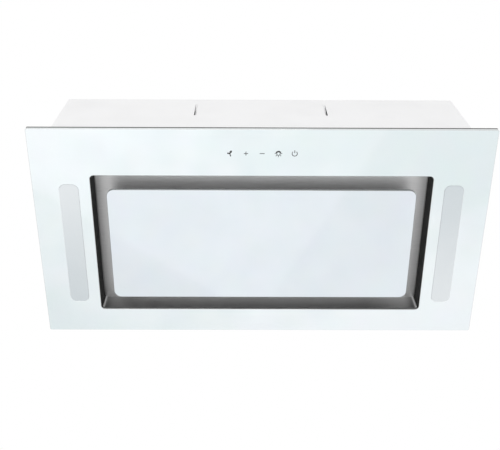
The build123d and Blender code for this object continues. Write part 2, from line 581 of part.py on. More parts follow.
HINGE_Y = PANEL_BACK_Y - HINGE_FROM_EDGE
HINGE_Z = HINGE_ABOVE_CEILING
ARM_FOOT = 34.0
ARM_FOOT_T = 2.5
ARM_NECK = 7.0
ARM_SET = 1.0               # the arm stands this far inside the tray's back wall
ARM_BACK_Y = PANEL_BACK_Y - TRAY_INSET - TRAY_T - ARM_SET
CHEEK_X = KNUCKLE_WIDTH / 2 + CHEEK_GAP
BRACKET_WIDTH = 2 * (CHEEK_X + CHEEK_T)
BRACKET_BASE_T = 2.0
BRACKET_WALL_GAP = 8.0      # from the recess's back wall forward to the bracket
BRACKET_BACK_Y = OPENING_Y + OPENING_DEPTH / 2 - BRACKET_WALL_GAP
with BuildPart() as hinge_arms:
    for side, name in SIDES:
        with BuildSketch(Plane.YZ.offset(side * HINGE_X - KNUCKLE_WIDTH / 2)):
            with Locations((HINGE_Y, HINGE_Z)):
                Circle(KNUCKLE_R)
            with Locations((ARM_BACK_Y - ARM_NECK / 2, (TRAY_FLOOR_Z + HINGE_Z) / 2)):
                Rectangle(ARM_NECK, HINGE_Z - TRAY_FLOOR_Z)
            with Locations((ARM_BACK_Y - ARM_FOOT / 2, TRAY_FLOOR_Z + ARM_FOOT_T / 2)):
                Rectangle(ARM_FOOT, ARM_FOOT_T)
            with Locations((HINGE_Y, HINGE_Z)):
                Circle(HINGE_PIN_R + HINGE_FIT, mode=Mode.SUBTRACT)
        extrude(amount=KNUCKLE_WIDTH)
save(hinge_arms, "hinge_arms")

with BuildPart() as hinge_brackets:
    for side, name in SIDES:
        with BuildSketch(Plane.YZ.offset(side * HINGE_X - BRACKET_WIDTH / 2)):
            with BuildLine():
                Polyline(
                    (HINGE_Y - KNUCKLE_R, HINGE_Z),
                    (HINGE_Y - KNUCKLE_R, DECK_Z),
                    (BRACKET_BACK_Y, DECK_Z),
                    (BRACKET_BACK_Y, DECK_Z - BRACKET_BASE_T),
                    (HINGE_Y + KNUCKLE_R, HINGE_Z + KNUCKLE_R),
                    (HINGE_Y + KNUCKLE_R, HINGE_Z),
                    close=True,
                )
            make_face()
            with Locations((HINGE_Y, HINGE_Z)):
                Circle(KNUCKLE_R)
                Circle(HINGE_PIN_R + HINGE_FIT, mode=Mode.SUBTRACT)
        extrude(amount=BRACKET_WIDTH)
        with BuildSketch(Plane.YZ.offset(side * HINGE_X - CHEEK_X)):
            with Locations(((HINGE_Y + BRACKET_BACK_Y) / 2, DECK_Z - BRACKET_BASE_T)):
                Rectangle(
                    BRACKET_BACK_Y - HINGE_Y + 4 * KNUCKLE_R,
                    2 * (DECK_Z - HINGE_Z),
                    align=(Align.CENTER, Align.MAX),
                )
        extrude(amount=2 * CHEEK_X, mode=Mode.SUBTRACT)
save(hinge_brackets, "hinge_brackets")

PIN_HEAD_R = 4.0
PIN_HEAD_T = 1.5
with BuildPart() as hinge_pins:
    for side, name in SIDES:
        with BuildSketch(Plane.YZ.offset(side * HINGE_X - BRACKET_WIDTH / 2)):
            with Locations((HINGE_Y, HINGE_Z)):
                Circle(HINGE_PIN_R)
        extrude(amount=BRACKET_WIDTH)
        for end in (-1, 1):
            with BuildSketch(Plane.YZ.offset(side * HINGE_X + end * BRACKET_WIDTH / 2)):
                with Locations((HINGE_Y, HINGE_Z)):
                    Circle(PIN_HEAD_R)
            extrude(amount=end * PIN_HEAD_T)
save(hinge_pins, "hinge_pins")

CATCH_Y = PANEL_FRONT_Y + CATCH_FROM_EDGE
CATCH_SPOTS = [(-CATCH_X, CATCH_Y), (CATCH_X, CATCH_Y)]
STRIKER_SIZE = (16.0, 24.0)
STRIKER_HEIGHT = 12.0
CATCH_SIZE = (16.0, 22.0)
MAGNET_R = 6.0
MAGNET_T = 4.0
STRIKER_TOP_Z = TRAY_FLOOR_Z + STRIKER_HEIGHT
CATCH_BOTTOM_Z = STRIKER_TOP_Z + SEAT_GAP
CATCH_BASE_T = 3.0
CATCH_BASE_EAR = 7.0
CATCH_CORNER_R = 2.0
with BuildPart() as panel_strikers:
    with BuildSketch(Plane.XY.offset(TRAY_FLOOR_Z)):
        with Locations(*CATCH_SPOTS):
            Rectangle(*STRIKER_SIZE)
    extrude(amount=STRIKER_HEIGHT)
    with BuildSketch(Plane.XY.offset(TRAY_FLOOR_Z)):
        with Locations(*CATCH_SPOTS):
            Rectangle(STRIKER_SIZE[0] - 2 * TRAY_T, STRIKER_SIZE[1])
    extrude(amount=STRIKER_HEIGHT - 2 * TRAY_T, mode=Mode.SUBTRACT)
save(panel_strikers, "panel_strikers")

with BuildPart() as catch_holders:
    with BuildSketch(Plane.XY.offset(CATCH_BOTTOM_Z)):
        with Locations(*CATCH_SPOTS):
            RectangleRounded(*CATCH_SIZE, CATCH_CORNER_R)
    extrude(amount=DECK_Z - CATCH_BOTTOM_Z)
    with BuildSketch(Plane.XY.offset(DECK_Z - CATCH_BASE_T)):
        with Locations(*CATCH_SPOTS):
            RectangleRounded(CATCH_SIZE[0], CATCH_SIZE[1] + 2 * CATCH_BASE_EAR, CATCH_CORNER_R)
    extrude(amount=CATCH_BASE_T)
    with BuildSketch(Plane.XY.offset(CATCH_BOTTOM_Z)):
        with Locations(*CATCH_SPOTS):
            Circle(MAGNET_R)
    extrude(amount=MAGNET_T, mode=Mode.SUBTRACT)
save(catch_holders, "catch_holders")

with BuildPart() as catch_magnets:
    with BuildSketch(Plane.XY.offset(CATCH_BOTTOM_Z)):
        with Locations(*CATCH_SPOTS):
            Circle(MAGNET_R)
    extrude(amount=MAGNET_T)
save(catch_magnets, "catch_magnets")

# =====================================================================================
# Body: four folded walls riveted at the corners, and the top plate
# =====================================================================================
WALL_HEIGHT = PLATE_Z - CARRIER_TOP_Z
RIVET_R = 1.6
RIVET_HEAD_R = 3.2
RIVET_HEAD_T = 1.2
RIVET_ROWS = 5
RIVET_MARGIN = 24.0
RIVET_Y = BODY_DEPTH / 2 - SHEET_T - SHEET_FLANGE / 2
RIVET_STEP = (WALL_HEIGHT - 2 * RIVET_MARGIN) / (RIVET_ROWS - 1)
RIVET_ZS = [CARRIER_TOP_Z + RIVET_MARGIN + row * RIVET_STEP for row in range(RIVET_ROWS)]
RIVET_SPOTS = [(side * RIVET_Y, z) for side in (-1, 1) for z in RIVET_ZS]
FLANGE_LENGTH_X = BODY_WIDTH - 2 * (SHEET_FLANGE + 2 * SHEET_T)
FLANGE_LENGTH_Y = BODY_DEPTH - 2 * (SHEET_FLANGE + 2 * SHEET_T)
TOUCH_NOTCH_GAP = 3.0
TOUCH_NOTCH = TOUCH_BOX_SIZE[0] + 2 * (TOUCH_BOX_EAR + TOUCH_NOTCH_GAP)
LANCE_X = 138.0             # two tongues lanced out of the front wall, bent in at their lower ends
LANCE_BOTTOM = 150.0
LANCE_TOP = 222.0
LANCE_WIDTH = 4.8
LANCE_TOP_WIDTH = 4.4
LANCE_DIP = 9.0
LANCE_GAP = 0.5

for side, name in ((-1, "front"), (1, "back")):
    with BuildPart() as body_wall:
        with BuildSketch(Plane.XY.offset(CARRIER_TOP_Z)):
            with Locations((0, side * (BODY_DEPTH - SHEET_T) / 2)):
                Rectangle(BODY_WIDTH, SHEET_T)
            for end in (-1, 1):
                with Locations((end * (BODY_WIDTH / 2 - 1.5 * SHEET_T), side * RIVET_Y)):
                    Rectangle(SHEET_T, SHEET_FLANGE)
        extrude(amount=WALL_HEIGHT)
        for level in (CARRIER_TOP_Z, PLATE_Z - SHEET_T):
            with BuildSketch(Plane.XY.offset(level)):
                with Locations((0, side * RIVET_Y)):
                    Rectangle(FLANGE_LENGTH_X, SHEET_FLANGE)
                with Locations(*[spot for spot in CARRIER_SCREWS if abs(spot[1]) > FLANGE_LENGTH_Y / 2]):
                    Circle(CARRIER_SCREW_R + SCREW_FIT, mode=Mode.SUBTRACT)
                if side < 0 and level < 0:
                    with Locations((0, side * RIVET_Y)):
                        Rectangle(TOUCH_NOTCH, SHEET_FLANGE, mode=Mode.SUBTRACT)
            extrude(amount=SHEET_T)
        with BuildSketch(Plane.YZ.offset(-BODY_WIDTH / 2 + SHEET_T)):
            with Locations(*[spot for spot in RIVET_SPOTS if spot[0] * side > 0]):
                Circle(RIVET_R + SCREW_FIT)
        extrude(amount=BODY_WIDTH - 2 * SHEET_T, mode=Mode.SUBTRACT)
        if side < 0:
            for lance_side in (-1, 1):
                with BuildSketch(Plane.XZ.offset(BODY_DEPTH / 2)):
                    with BuildLine():
                        Polyline(
                            (lance_side * LANCE_X - LANCE_WIDTH / 2, LANCE_BOTTOM),
                            (lance_side * LANCE_X + LANCE_WIDTH / 2, LANCE_BOTTOM),
                            (lance_side * LANCE_X + LANCE_TOP_WIDTH / 2, LANCE_TOP),
                            (lance_side * LANCE_X - LANCE_TOP_WIDTH / 2, LANCE_TOP),
                            close=True,
                        )
                    make_face()
                extrude(amount=-SHEET_T, mode=Mode.SUBTRACT)
                tongue_width = LANCE_TOP_WIDTH - 2 * LANCE_GAP
                front_y = -BODY_DEPTH / 2
                with BuildSketch(Plane.YZ.offset(lance_side * LANCE_X - tongue_width / 2)):
                    with BuildLine():
                        Polyline(
                            (front_y, LANCE_TOP + SHEET_T),
                            (front_y + SHEET_T, LANCE_TOP + SHEET_T),
                            (front_y + SHEET_T + LANCE_DIP, LANCE_BOTTOM + LANCE_GAP),
                            (front_y + LANCE_DIP, LANCE_BOTTOM + LANCE_GAP),
                            close=True,
                        )
                    make_face()
                extrude(amount=tongue_width)
    save(body_wall, f"body_{name}")

for side, name in SIDES:
    with BuildPart() as body_side:
        with BuildSketch(Plane.XY.offset(CARRIER_TOP_Z)):
            with Locations((side * (BODY_WIDTH - SHEET_T) / 2, 0)):
                Rectangle(SHEET_T, BODY_DEPTH - 2 * SHEET_T)
        extrude(amount=WALL_HEIGHT)
        for level in (CARRIER_TOP_Z, PLATE_Z - SHEET_T):
            with BuildSketch(Plane.XY.offset(level)):
                with Locations((side * (BODY_WIDTH / 2 - FLANGE_MID), 0)):
                    Rectangle(SHEET_FLANGE, FLANGE_LENGTH_Y)
                with Locations(*[spot for spot in CARRIER_SCREWS if abs(spot[0]) > FLANGE_LENGTH_X / 2]):
                    Circle(CARRIER_SCREW_R + SCREW_FIT, mode=Mode.SUBTRACT)
            extrude(amount=SHEET_T)
        with BuildSketch(Plane.YZ.offset(side * BODY_WIDTH / 2)):
            with Locations(*RIVET_SPOTS):
                Circle(RIVET_R + SCREW_FIT)
        extrude(amount=-side * SHEET_T, mode=Mode.SUBTRACT)
    save(body_side, f"body_side_{name}")

with BuildPart() as body_rivets:
    for side, name in SIDES:
        with BuildSketch(Plane.YZ.offset(side * BODY_WIDTH / 2)):
            with Locations(*RIVET_SPOTS):
                Circle(RIVET_HEAD_R)
        extrude(amount=side * RIVET_HEAD_T)
        with BuildSketch(Plane.YZ.offset(side * BODY_WIDTH / 2)):
            with Locations(*RIVET_SPOTS):
                Circle(RIVET_R)
        extrude(amount=-side * 2 * SHEET_T)
save(body_rivets, "body_rivets")

HANGER_SPOTS = [(x * HANGER_X, y * HANGER_Y) for x in (-1, 1) for y in (-1, 1)]
COLLAR_SCREW_RING = (COLLAR_R + COLLAR_FLANGE_R) / 2
COLLAR_SCREW_COUNT = 6
COLLAR_SCREW_START = 30.0
COLLAR_SCREW_STEP = 360.0 / COLLAR_SCREW_COUNT
COLLAR_SCREW_TURNS = [radians(COLLAR_SCREW_START + COLLAR_SCREW_STEP * k) for k in range(COLLAR_SCREW_COUNT)]
COLLAR_SCREWS = [
    (COLLAR_SCREW_RING * cos(turn), COLLAR_Y + COLLAR_SCREW_RING * sin(turn)) for turn in COLLAR_SCREW_TURNS
]
SCROLL_FLANGE = (168.0, 144.0)
SCROLL_FLANGE_T = 3.0
SCROLL_SCREW_SET = 8.0
SCROLL_SCREW_X = SCROLL_FLANGE[0] / 2 - SCROLL_SCREW_SET
SCROLL_SCREW_Y = SCROLL_FLANGE[1] / 2 - SCROLL_SCREW_SET
SCROLL_SCREWS = [(x * SCROLL_SCREW_X, COLLAR_Y + y * SCROLL_SCREW_Y) for x in (-1, 1) for y in (-1, 1)]
PLATE_CORNER_R = 1.5
BEAD_FROM_FRONT = 50.0
BEAD_FROM_BACK = 70.0
BEAD_SIZE = (14.0, BODY_DEPTH - BEAD_FROM_FRONT - BEAD_FROM_BACK)
BEAD_RISE = 3.0
BEAD_INNER_X = 150.0
BEAD_FROM_SIDE = 142.5
BEAD_OUTER_X = BODY_WIDTH / 2 - BEAD_FROM_SIDE
BEAD_XS = (BEAD_INNER_X, (BEAD_INNER_X + BEAD_OUTER_X) / 2, BEAD_OUTER_X)
BEAD_Y = (BEAD_FROM_FRONT - BEAD_FROM_BACK) / 2
BEAD_TAPER = 20.0
BEAD_SPOTS = [(side * x, BEAD_Y) for side in (-1, 1) for x in BEAD_XS]
CAPACITOR_X = -130.0
CAPACITOR_Y = -90.0
CAPACITOR_R = 17.5
CAPACITOR_HEIGHT = 70.0
STUD_R = 4.0
STUD_RISE = 8.0
STUD_NUT_R = 7.4
STUD_NUT_T = 6.4
with BuildPart() as top_plate:
    with BuildSketch(Plane.XY.offset(PLATE_Z)):
        RectangleRounded(BODY_WIDTH, BODY_DEPTH, PLATE_CORNER_R)
    extrude(amount=SHEET_T)
    with BuildSketch(Plane.XY.offset(BODY_HEIGHT)):
        with Locations(*BEAD_SPOTS):
            SlotOverall(BEAD_SIZE[1], BEAD_SIZE[0], rotation=90)
    extrude(amount=BEAD_RISE, taper=BEAD_TAPER)
    with BuildSketch(Plane.XY.offset(PLATE_Z)):
        with Locations(*BEAD_SPOTS):
            SlotOverall(BEAD_SIZE[1] - 2 * SHEET_T, BEAD_SIZE[0] - 2 * SHEET_T, rotation=90)
    extrude(amount=BEAD_RISE, mode=Mode.SUBTRACT, taper=BEAD_TAPER)
    with BuildSketch(Plane.XY.offset(PLATE_Z)):
        with Locations((0, COLLAR_Y)):
            Circle(COLLAR_R - COLLAR_T)
        with Locations(*COLLAR_SCREWS):
            Circle(SMALL_SCREW_R + SCREW_FIT)
        with Locations(*HANGER_SPOTS):
            Circle(HANGER_HOLE_R)
        with Locations((GLAND_X, GLAND_Y)):
            Circle(GLAND_THREAD_R + SCREW_FIT)
        with Locations((CAPACITOR_X, CAPACITOR_Y)):
            Circle(STUD_R + SCREW_FIT)
        with Locations(*CARRIER_SCREWS, *SCROLL_SCREWS):
            Circle(CARRIER_SCREW_R + SCREW_FIT)
    extrude(amount=SHEET_T, mode=Mode.SUBTRACT)
save(top_plate, "top_plate")

HANGER_SIZE = 40.0
HANGER_T = 3.0
with BuildPart() as hanger_brackets:
    for x, y in HANGER_SPOTS:
        side = 1 if x > 0 else -1
        inner_face = BODY_WIDTH / 2 - SHEET_T
        leg_reach = inner_face - abs(x) + HANGER_SIZE / 2
        with BuildSketch(Plane.XY.offset(PLATE_Z - SHEET_T - HANGER_T)):
            with Locations((side * (inner_face - leg_reach / 2), y)):
                Rectangle(leg_reach, HANGER_SIZE)
            with Locations((x, y)):
                Circle(HANGER_HOLE_R, mode=Mode.SUBTRACT)
        extrude(amount=HANGER_T)
        with BuildSketch(Plane.XY.offset(PLATE_Z - SHEET_T)):
            with Locations((side * (inner_face - HANGER_T / 2), y)):
                Rectangle(HANGER_T, HANGER_SIZE)
        extrude(amount=-HANGER_SIZE)
save(hanger_brackets, "hanger_brackets")

# Screws of one size: body to carrier, top plate to body, blower to top plate.
HEX_DRIVE_R = 1.6
HEX_DRIVE_DEPTH = 1.3
with BuildPart() as body_screws:
    with BuildSketch(Plane.XY.offset(GLASS_BACK_Z + SEAT_GAP)):
        with Locations(*CARRIER_SCREWS):
            Circle(CARRIER_SCREW_R)
    extrude(amount=CARRIER_T + SHEET_T - SEAT_GAP)
    with BuildSketch(Plane.XY.offset(PLATE_Z - SCROLL_FLANGE_T)):
        with Locations(*SCROLL_SCREWS):
            Circle(CARRIER_SCREW_R)
    extrude(amount=SCROLL_FLANGE_T + SHEET_T)
    with BuildSketch(Plane.XY.offset(PLATE_Z - SHEET_T)):
        with Locations(*CARRIER_SCREWS):
            Circle(CARRIER_SCREW_R)
    extrude(amount=2 * SHEET_T)
    for level, spots in (
        (CARRIER_TOP_Z + SHEET_T, CARRIER_SCREWS),
        (BODY_HEIGHT, CARRIER_SCREWS + SCROLL_SCREWS),
    ):
        with BuildSketch(Plane.XY.offset(level)):
            with Locations(*spots):
                Circle(CARRIER_HEAD_R)
        extrude(amount=CARRIER_HEAD_T)
        with BuildSketch(Plane.XY.offset(level + CARRIER_HEAD_T)):
            with Locations(*spots):
                RegularPolygon(HEX_DRIVE_R, 6)
        extrude(amount=-HEX_DRIVE_DEPTH, mode=Mode.SUBTRACT)
save(body_screws, "body_screws")

# =====================================================================================
# Duct collar with two half-moon flaps on one pin
# =====================================================================================
FLAP_Z = BODY_HEIGHT + FLAP_ABOVE_PLATE
BORE_R = COLLAR_R - COLLAR_T
BOSS_R = 4.5
BOSS_LENGTH = 5.5
FLAP_SEAT = 3.0
FLAP_SEAT_T = 2.0
PIN_BLIND = 0.8             # wall left over the end of the pin
FLAP_PIN_HALF = COLLAR_R - PIN_BLIND - SEAT_GAP
with BuildPart() as duct_collar:
    with BuildSketch(Plane.XY.offset(BODY_HEIGHT)):
        with Locations((0, COLLAR_Y)):
            Circle(COLLAR_FLANGE_R)
        with Locations(*COLLAR_SCREWS):
            Circle(SMALL_SCREW_R + SCREW_FIT, mode=Mode.SUBTRACT)
    extrude(amount=COLLAR_FLANGE_T)
    with BuildSketch(Plane.XY.offset(BODY_HEIGHT)):
        with Locations((0, COLLAR_Y)):
            Circle(COLLAR_R)
    extrude(amount=COLLAR_FLANGE_T + COLLAR_HEIGHT)
    with BuildSketch(Plane.XY.offset(BODY_HEIGHT)):
        with Locations((0, COLLAR_Y)):
            Circle(BORE_R)
    extrude(amount=COLLAR_FLANGE_T + COLLAR_HEIGHT, mode=Mode.SUBTRACT)
    with BuildSketch(Plane.XY.offset(FLAP_Z - FLAP_T / 2 - SEAT_GAP - FLAP_SEAT_T)):
        with Locations((0, COLLAR_Y)):
            Circle((BORE_R + COLLAR_R) / 2)
            Circle(BORE_R - FLAP_SEAT, mode=Mode.SUBTRACT)
    extrude(amount=FLAP_SEAT_T)
    for side in (-1, 1):
        with BuildSketch(Plane.YZ.offset(side * (BORE_R - BOSS_LENGTH))):
            with Locations((COLLAR_Y, FLAP_Z)):
                Circle(BOSS_R)
        extrude(amount=side * (BOSS_LENGTH + COLLAR_T / 2))
    with BuildSketch(Plane.YZ.offset(-COLLAR_R + PIN_BLIND)):
        with Locations((COLLAR_Y, FLAP_Z)):
            Circle(FLAP_PIN_R + FLAP_PIN_FIT)
    extrude(amount=2 * (COLLAR_R - PIN_BLIND), mode=Mode.SUBTRACT)
save(duct_collar, "duct_collar")

with BuildPart() as flap_pin:
    with BuildSketch(Plane.YZ.offset(-FLAP_PIN_HALF)):
        with Locations((COLLAR_Y, FLAP_Z)):
            Circle(FLAP_PIN_R)
    extrude(amount=2 * FLAP_PIN_HALF)
save(flap_pin, "flap_pin")

FLAP_R = BORE_R - FLAP_EDGE_GAP
FLAP_KNUCKLE_R = 3.0
FLAP_KNUCKLE = 20.0
FLAP_ROOT_GAP = 0.5
FLAP_ROOT = FLAP_KNUCKLE_R + FLAP_ROOT_GAP
FLAP_LAP = 1.0              # how far a knuckle's tongue laps into the blade of the flap
FLAP_EAR_GAP = 1.5
FLAP_EAR = BOSS_R + FLAP_EAR_GAP     # the corners by the bosses are cut away this far from the pin
FLAP_KNUCKLE_XS = {"front": (-50.0, 50.0), "back": (-20.0, 20.0)}
for side, name in ((-1, "front"), (1, "back")):
    with BuildPart() as flap:
        with BuildSketch(Plane.XY.offset(FLAP_Z - FLAP_T / 2)):
            with Locations((0, COLLAR_Y)):
                Circle(FLAP_R)
            with Locations((0, COLLAR_Y + side * FLAP_ROOT)):
                Rectangle(
                    2 * FLAP_R,
                    2 * FLAP_R,
                    align=(Align.CENTER, Align.MAX if side > 0 else Align.MIN),
                    mode=Mode.SUBTRACT,
                )
            for end in (-1, 1):
                with Locations((end * (BORE_R - BOSS_LENGTH - SEAT_GAP), COLLAR_Y + side * FLAP_EAR)):
                    Rectangle(
                        2 * BOSS_LENGTH,
                        2 * FLAP_EAR,
                        align=(Align.MIN if end > 0 else Align.MAX, Align.MAX if side > 0 else Align.MIN),
                        mode=Mode.SUBTRACT,
                    )
            for x in FLAP_KNUCKLE_XS[name]:
                with Locations((x, COLLAR_Y + side * (FLAP_PIN_R + FLAP_ROOT + FLAP_LAP) / 2)):
                    Rectangle(FLAP_KNUCKLE, FLAP_ROOT + FLAP_LAP - FLAP_PIN_R)
        extrude(amount=FLAP_T)
        for x in FLAP_KNUCKLE_XS[name]:
            with BuildSketch(Plane.YZ.offset(x - FLAP_KNUCKLE / 2)):
                with Locations((COLLAR_Y, FLAP_Z)):
                    Circle(FLAP_KNUCKLE_R)
            extrude(amount=FLAP_KNUCKLE)
        with BuildSketch(Plane.YZ.offset(-BORE_R)):
            with Locations((COLLAR_Y, FLAP_Z)):
                Circle(FLAP_PIN_R + FLAP_PIN_FIT)
        extrude(amount=2 * BORE_R, mode=Mode.SUBTRACT)
    save(flap, f"flap_{name}")

# =====================================================================================
# Blower: scroll in two halves, impeller, shaft, motor on rubber mounts
# =====================================================================================
# The spiral is four arcs about centres that step away from the shaft, each meeting the next in line.
BLADE_LENGTH = 14.0
IMPELLER_R = (PLATE_Z - FILTER_TOP_Z - BLOWER_SPARE) / 3
INLET_R = IMPELLER_R - BLADE_LENGTH
TONGUE_GAP = 6.0
SPIRAL_GAP = 16.0           # between the wheel and the spiral over its top
SPIRAL_GROWTH = 10.0        # each quarter turn widens the spiral by this
SPIRAL_TONGUE_R = IMPELLER_R + TONGUE_GAP
SPIRAL_TOP_R = IMPELLER_R + SPIRAL_GAP
SPIRAL_FRONT_R = SPIRAL_TOP_R + SPIRAL_GROWTH
SPIRAL_LOW_R = SPIRAL_FRONT_R + SPIRAL_GROWTH
SPIRAL_TONGUE_TURN = 45.0
SPIRAL_SHIFT_Y = -3.0
SPIRAL_SHIFT_Z = -2.0
MOUTH_DEPTH = 100.0
MOUTH_BACK = SPIRAL_SHIFT_Y - SPIRAL_TOP_R + SPIRAL_FRONT_R + SPIRAL_LOW_R
SCROLL_Y = COLLAR_Y - MOUTH_BACK + MOUTH_DEPTH / 2
LOW_Z = SPIRAL_SHIFT_Z - SPIRAL_FRONT_R + SPIRAL_LOW_R
SCROLL_AXIS_Z = FILTER_TOP_Z + BLOWER_GAP + SCROLL_T + SPIRAL_LOW_R - LOW_Z
MOUTH_RISE = PLATE_Z - SCROLL_AXIS_Z
SCROLL_INNER = IMPELLER_WIDTH / 2 + SCROLL_SIDE_GAP
SCROLL_OUTER = SCROLL_INNER + SCROLL_T
TONGUE_Z = SPIRAL_SHIFT_Z + SPIRAL_TOP_R - SPIRAL_TONGUE_R
FRONT_Y = SPIRAL_SHIFT_Y - SPIRAL_TOP_R + SPIRAL_FRONT_R
TONGUE_TIP = (
    SCROLL_Y + SPIRAL_SHIFT_Y + SPIRAL_TONGUE_R * cos(radians(SPIRAL_TONGUE_TURN)),
    SCROLL_AXIS_Z + TONGUE_Z + SPIRAL_TONGUE_R * sin(radians(SPIRAL_TONGUE_TURN)),
)
with BuildLine() as spiral:
    CenterArc(
        (SCROLL_Y + SPIRAL_SHIFT_Y, SCROLL_AXIS_Z + TONGUE_Z),
        SPIRAL_TONGUE_R,
        SPIRAL_TONGUE_TURN,
        90 - SPIRAL_TONGUE_TURN,
    )
    CenterArc((SCROLL_Y + SPIRAL_SHIFT_Y, SCROLL_AXIS_Z + SPIRAL_SHIFT_Z), SPIRAL_TOP_R, 90, 90)
    CenterArc((SCROLL_Y + FRONT_Y, SCROLL_AXIS_Z + SPIRAL_SHIFT_Z), SPIRAL_FRONT_R, 180, 90)
    CenterArc((SCROLL_Y + FRONT_Y, SCROLL_AXIS_Z + LOW_Z), SPIRAL_LOW_R, 270, 90)
    Polyline(
        (SCROLL_Y + MOUTH_BACK, SCROLL_AXIS_Z + LOW_Z),
        (SCROLL_Y + MOUTH_BACK, SCROLL_AXIS_Z + MOUTH_RISE),
        (SCROLL_Y + MOUTH_BACK - MOUTH_DEPTH, SCROLL_AXIS_Z + MOUTH_RISE),
        TONGUE_TIP,
    )

MOTOR_PLATE_R = 62.0
MOTOR_PLATE_T = 2.0
MOTOR_PLATE_RING = 57.0
MOTOR_PLATE_SCREWS = 6
MOTOR_OPENING_R = 51.0
SCROLL_LIP = 6.0
SCROLL_TRIM = 20.0          # what the mouth's rim could stand above the top plate is cut off
for side, name in SIDES:
    with BuildPart() as scroll_half:
        with BuildSketch(Plane.YZ):
            add(spiral.line)
            make_face()
            offset(amount=SCROLL_T)
        extrude(amount=side * SCROLL_OUTER)
        with BuildSketch(Plane.XY.offset(PLATE_Z - SCROLL_FLANGE_T)):
            with Locations((side * SCROLL_FLANGE[0] / 4, COLLAR_Y)):
                Rectangle(SCROLL_FLANGE[0] / 2, SCROLL_FLANGE[1])
            for x, y in SCROLL_SCREWS:
                if x * side > 0:
                    with Locations((x, y)):
                        Circle(CARRIER_SCREW_R + SCREW_FIT, mode=Mode.SUBTRACT)
        extrude(amount=SCROLL_FLANGE_T)
        with BuildSketch(Plane.YZ):
            add(spiral.line)
            make_face()
        extrude(amount=side * SCROLL_INNER, mode=Mode.SUBTRACT)
        with BuildSketch(Plane.XY.offset(PLATE_Z)):
            with Locations((0, COLLAR_Y)):
                Rectangle(2 * SCROLL_FLANGE[0], 2 * SCROLL_FLANGE[1])
        extrude(amount=SCROLL_TRIM, mode=Mode.SUBTRACT)
        if side > 0:
            with BuildSketch(Plane.YZ.offset(SCROLL_OUTER)):
                with Locations((SCROLL_Y, SCROLL_AXIS_Z)):
                    Circle(INLET_R + SCROLL_LIP)
            extrude(amount=SCROLL_LIP)
            with BuildSketch(Plane.YZ.offset(SCROLL_INNER)):
                with Locations((SCROLL_Y, SCROLL_AXIS_Z)):
                    Circle(INLET_R)
            extrude(amount=SCROLL_T + SCROLL_LIP, mode=Mode.SUBTRACT)
        else:
            with BuildSketch(Plane.YZ.offset(-SCROLL_OUTER)):
                with Locations((SCROLL_Y, SCROLL_AXIS_Z)):
                    Circle(MOTOR_OPENING_R)
                    with PolarLocations(MOTOR_PLATE_RING, MOTOR_PLATE_SCREWS):
                        Circle(SMALL_SCREW_R + SCREW_FIT)
            extrude(amount=SCROLL_T, mode=Mode.SUBTRACT)
    save(scroll_half, f"scroll_{name}")

BLADE_T = 1.2
BLADE_TILT = 35.0
HUB_R = 10.0
HUB_LENGTH = 24.0
DISC_T = 2.0
RING_T = 3.0
BLADE_SET = 0.3             # the blades stay this far inside the rim
BLADE_RING = IMPELLER_R - BLADE_LENGTH * cos(radians(BLADE_TILT)) / 2 - BLADE_SET
with BuildPart() as impeller:
    with BuildSketch(Plane.YZ.offset(-IMPELLER_WIDTH / 2)):
        with Locations((SCROLL_Y, SCROLL_AXIS_Z)):
            Circle(IMPELLER_R)
    extrude(amount=DISC_T)
    with BuildSketch(Plane.YZ.offset(-IMPELLER_WIDTH / 2)):
        with Locations((SCROLL_Y, SCROLL_AXIS_Z)):
            Circle(HUB_R)
    extrude(amount=HUB_LENGTH)
    with BuildSketch(Plane.YZ.offset(-IMPELLER_WIDTH / 2)):
        with Locations((SCROLL_Y, SCROLL_AXIS_Z)):
            with PolarLocations(BLADE_RING, BLADE_COUNT):
                Rectangle(BLADE_LENGTH, BLADE_T, rotation=BLADE_TILT)
    extrude(amount=IMPELLER_WIDTH)
    with BuildSketch(Plane.YZ.offset(IMPELLER_WIDTH / 2 - RING_T)):
        with Locations((SCROLL_Y, SCROLL_AXIS_Z)):
            Circle(IMPELLER_R)
            Circle(IMPELLER_R - BLADE_LENGTH, mode=Mode.SUBTRACT)
    extrude(amount=RING_T)
    with BuildSketch(Plane.YZ.offset(-IMPELLER_WIDTH / 2)):
        with Locations((SCROLL_Y, SCROLL_AXIS_Z)):
            Circle(SHAFT_R + SHAFT_FIT)
    extrude(amount=HUB_LENGTH, mode=Mode.SUBTRACT)
save(impeller, "impeller")

MOUNT_T = 6.0
MOUNT_R = 7.0
MOUNT_RING = 34.0
MOUNT_COUNT = 3
MOTOR_FRONT = -SCROLL_OUTER - MOTOR_PLATE_T - MOUNT_T
SHAFT_BLIND = 10.0
SHAFT_NUT_R = 7.5
SHAFT_NUT_T = 5.0
SHAFT_REAR_X = MOTOR_FRONT - MOTOR_LENGTH + SHAFT_BLIND + SEAT_GAP
SHAFT_NUT_X = -IMPELLER_WIDTH / 2 + HUB_LENGTH
with BuildPart() as motor_shaft:
    with BuildSketch(Plane.YZ.offset(SHAFT_REAR_X)):
        with Locations((SCROLL_Y, SCROLL_AXIS_Z)):
            Circle(SHAFT_R)
    extrude(amount=SHAFT_NUT_X + SHAFT_NUT_T - SHAFT_REAR_X)
    with BuildSketch(Plane.YZ.offset(SHAFT_NUT_X)):
        with Locations((SCROLL_Y, SCROLL_AXIS_Z)):
            RegularPolygon(SHAFT_NUT_R, 6)
    extrude(amount=SHAFT_NUT_T)
save(motor_shaft, "motor_shaft")

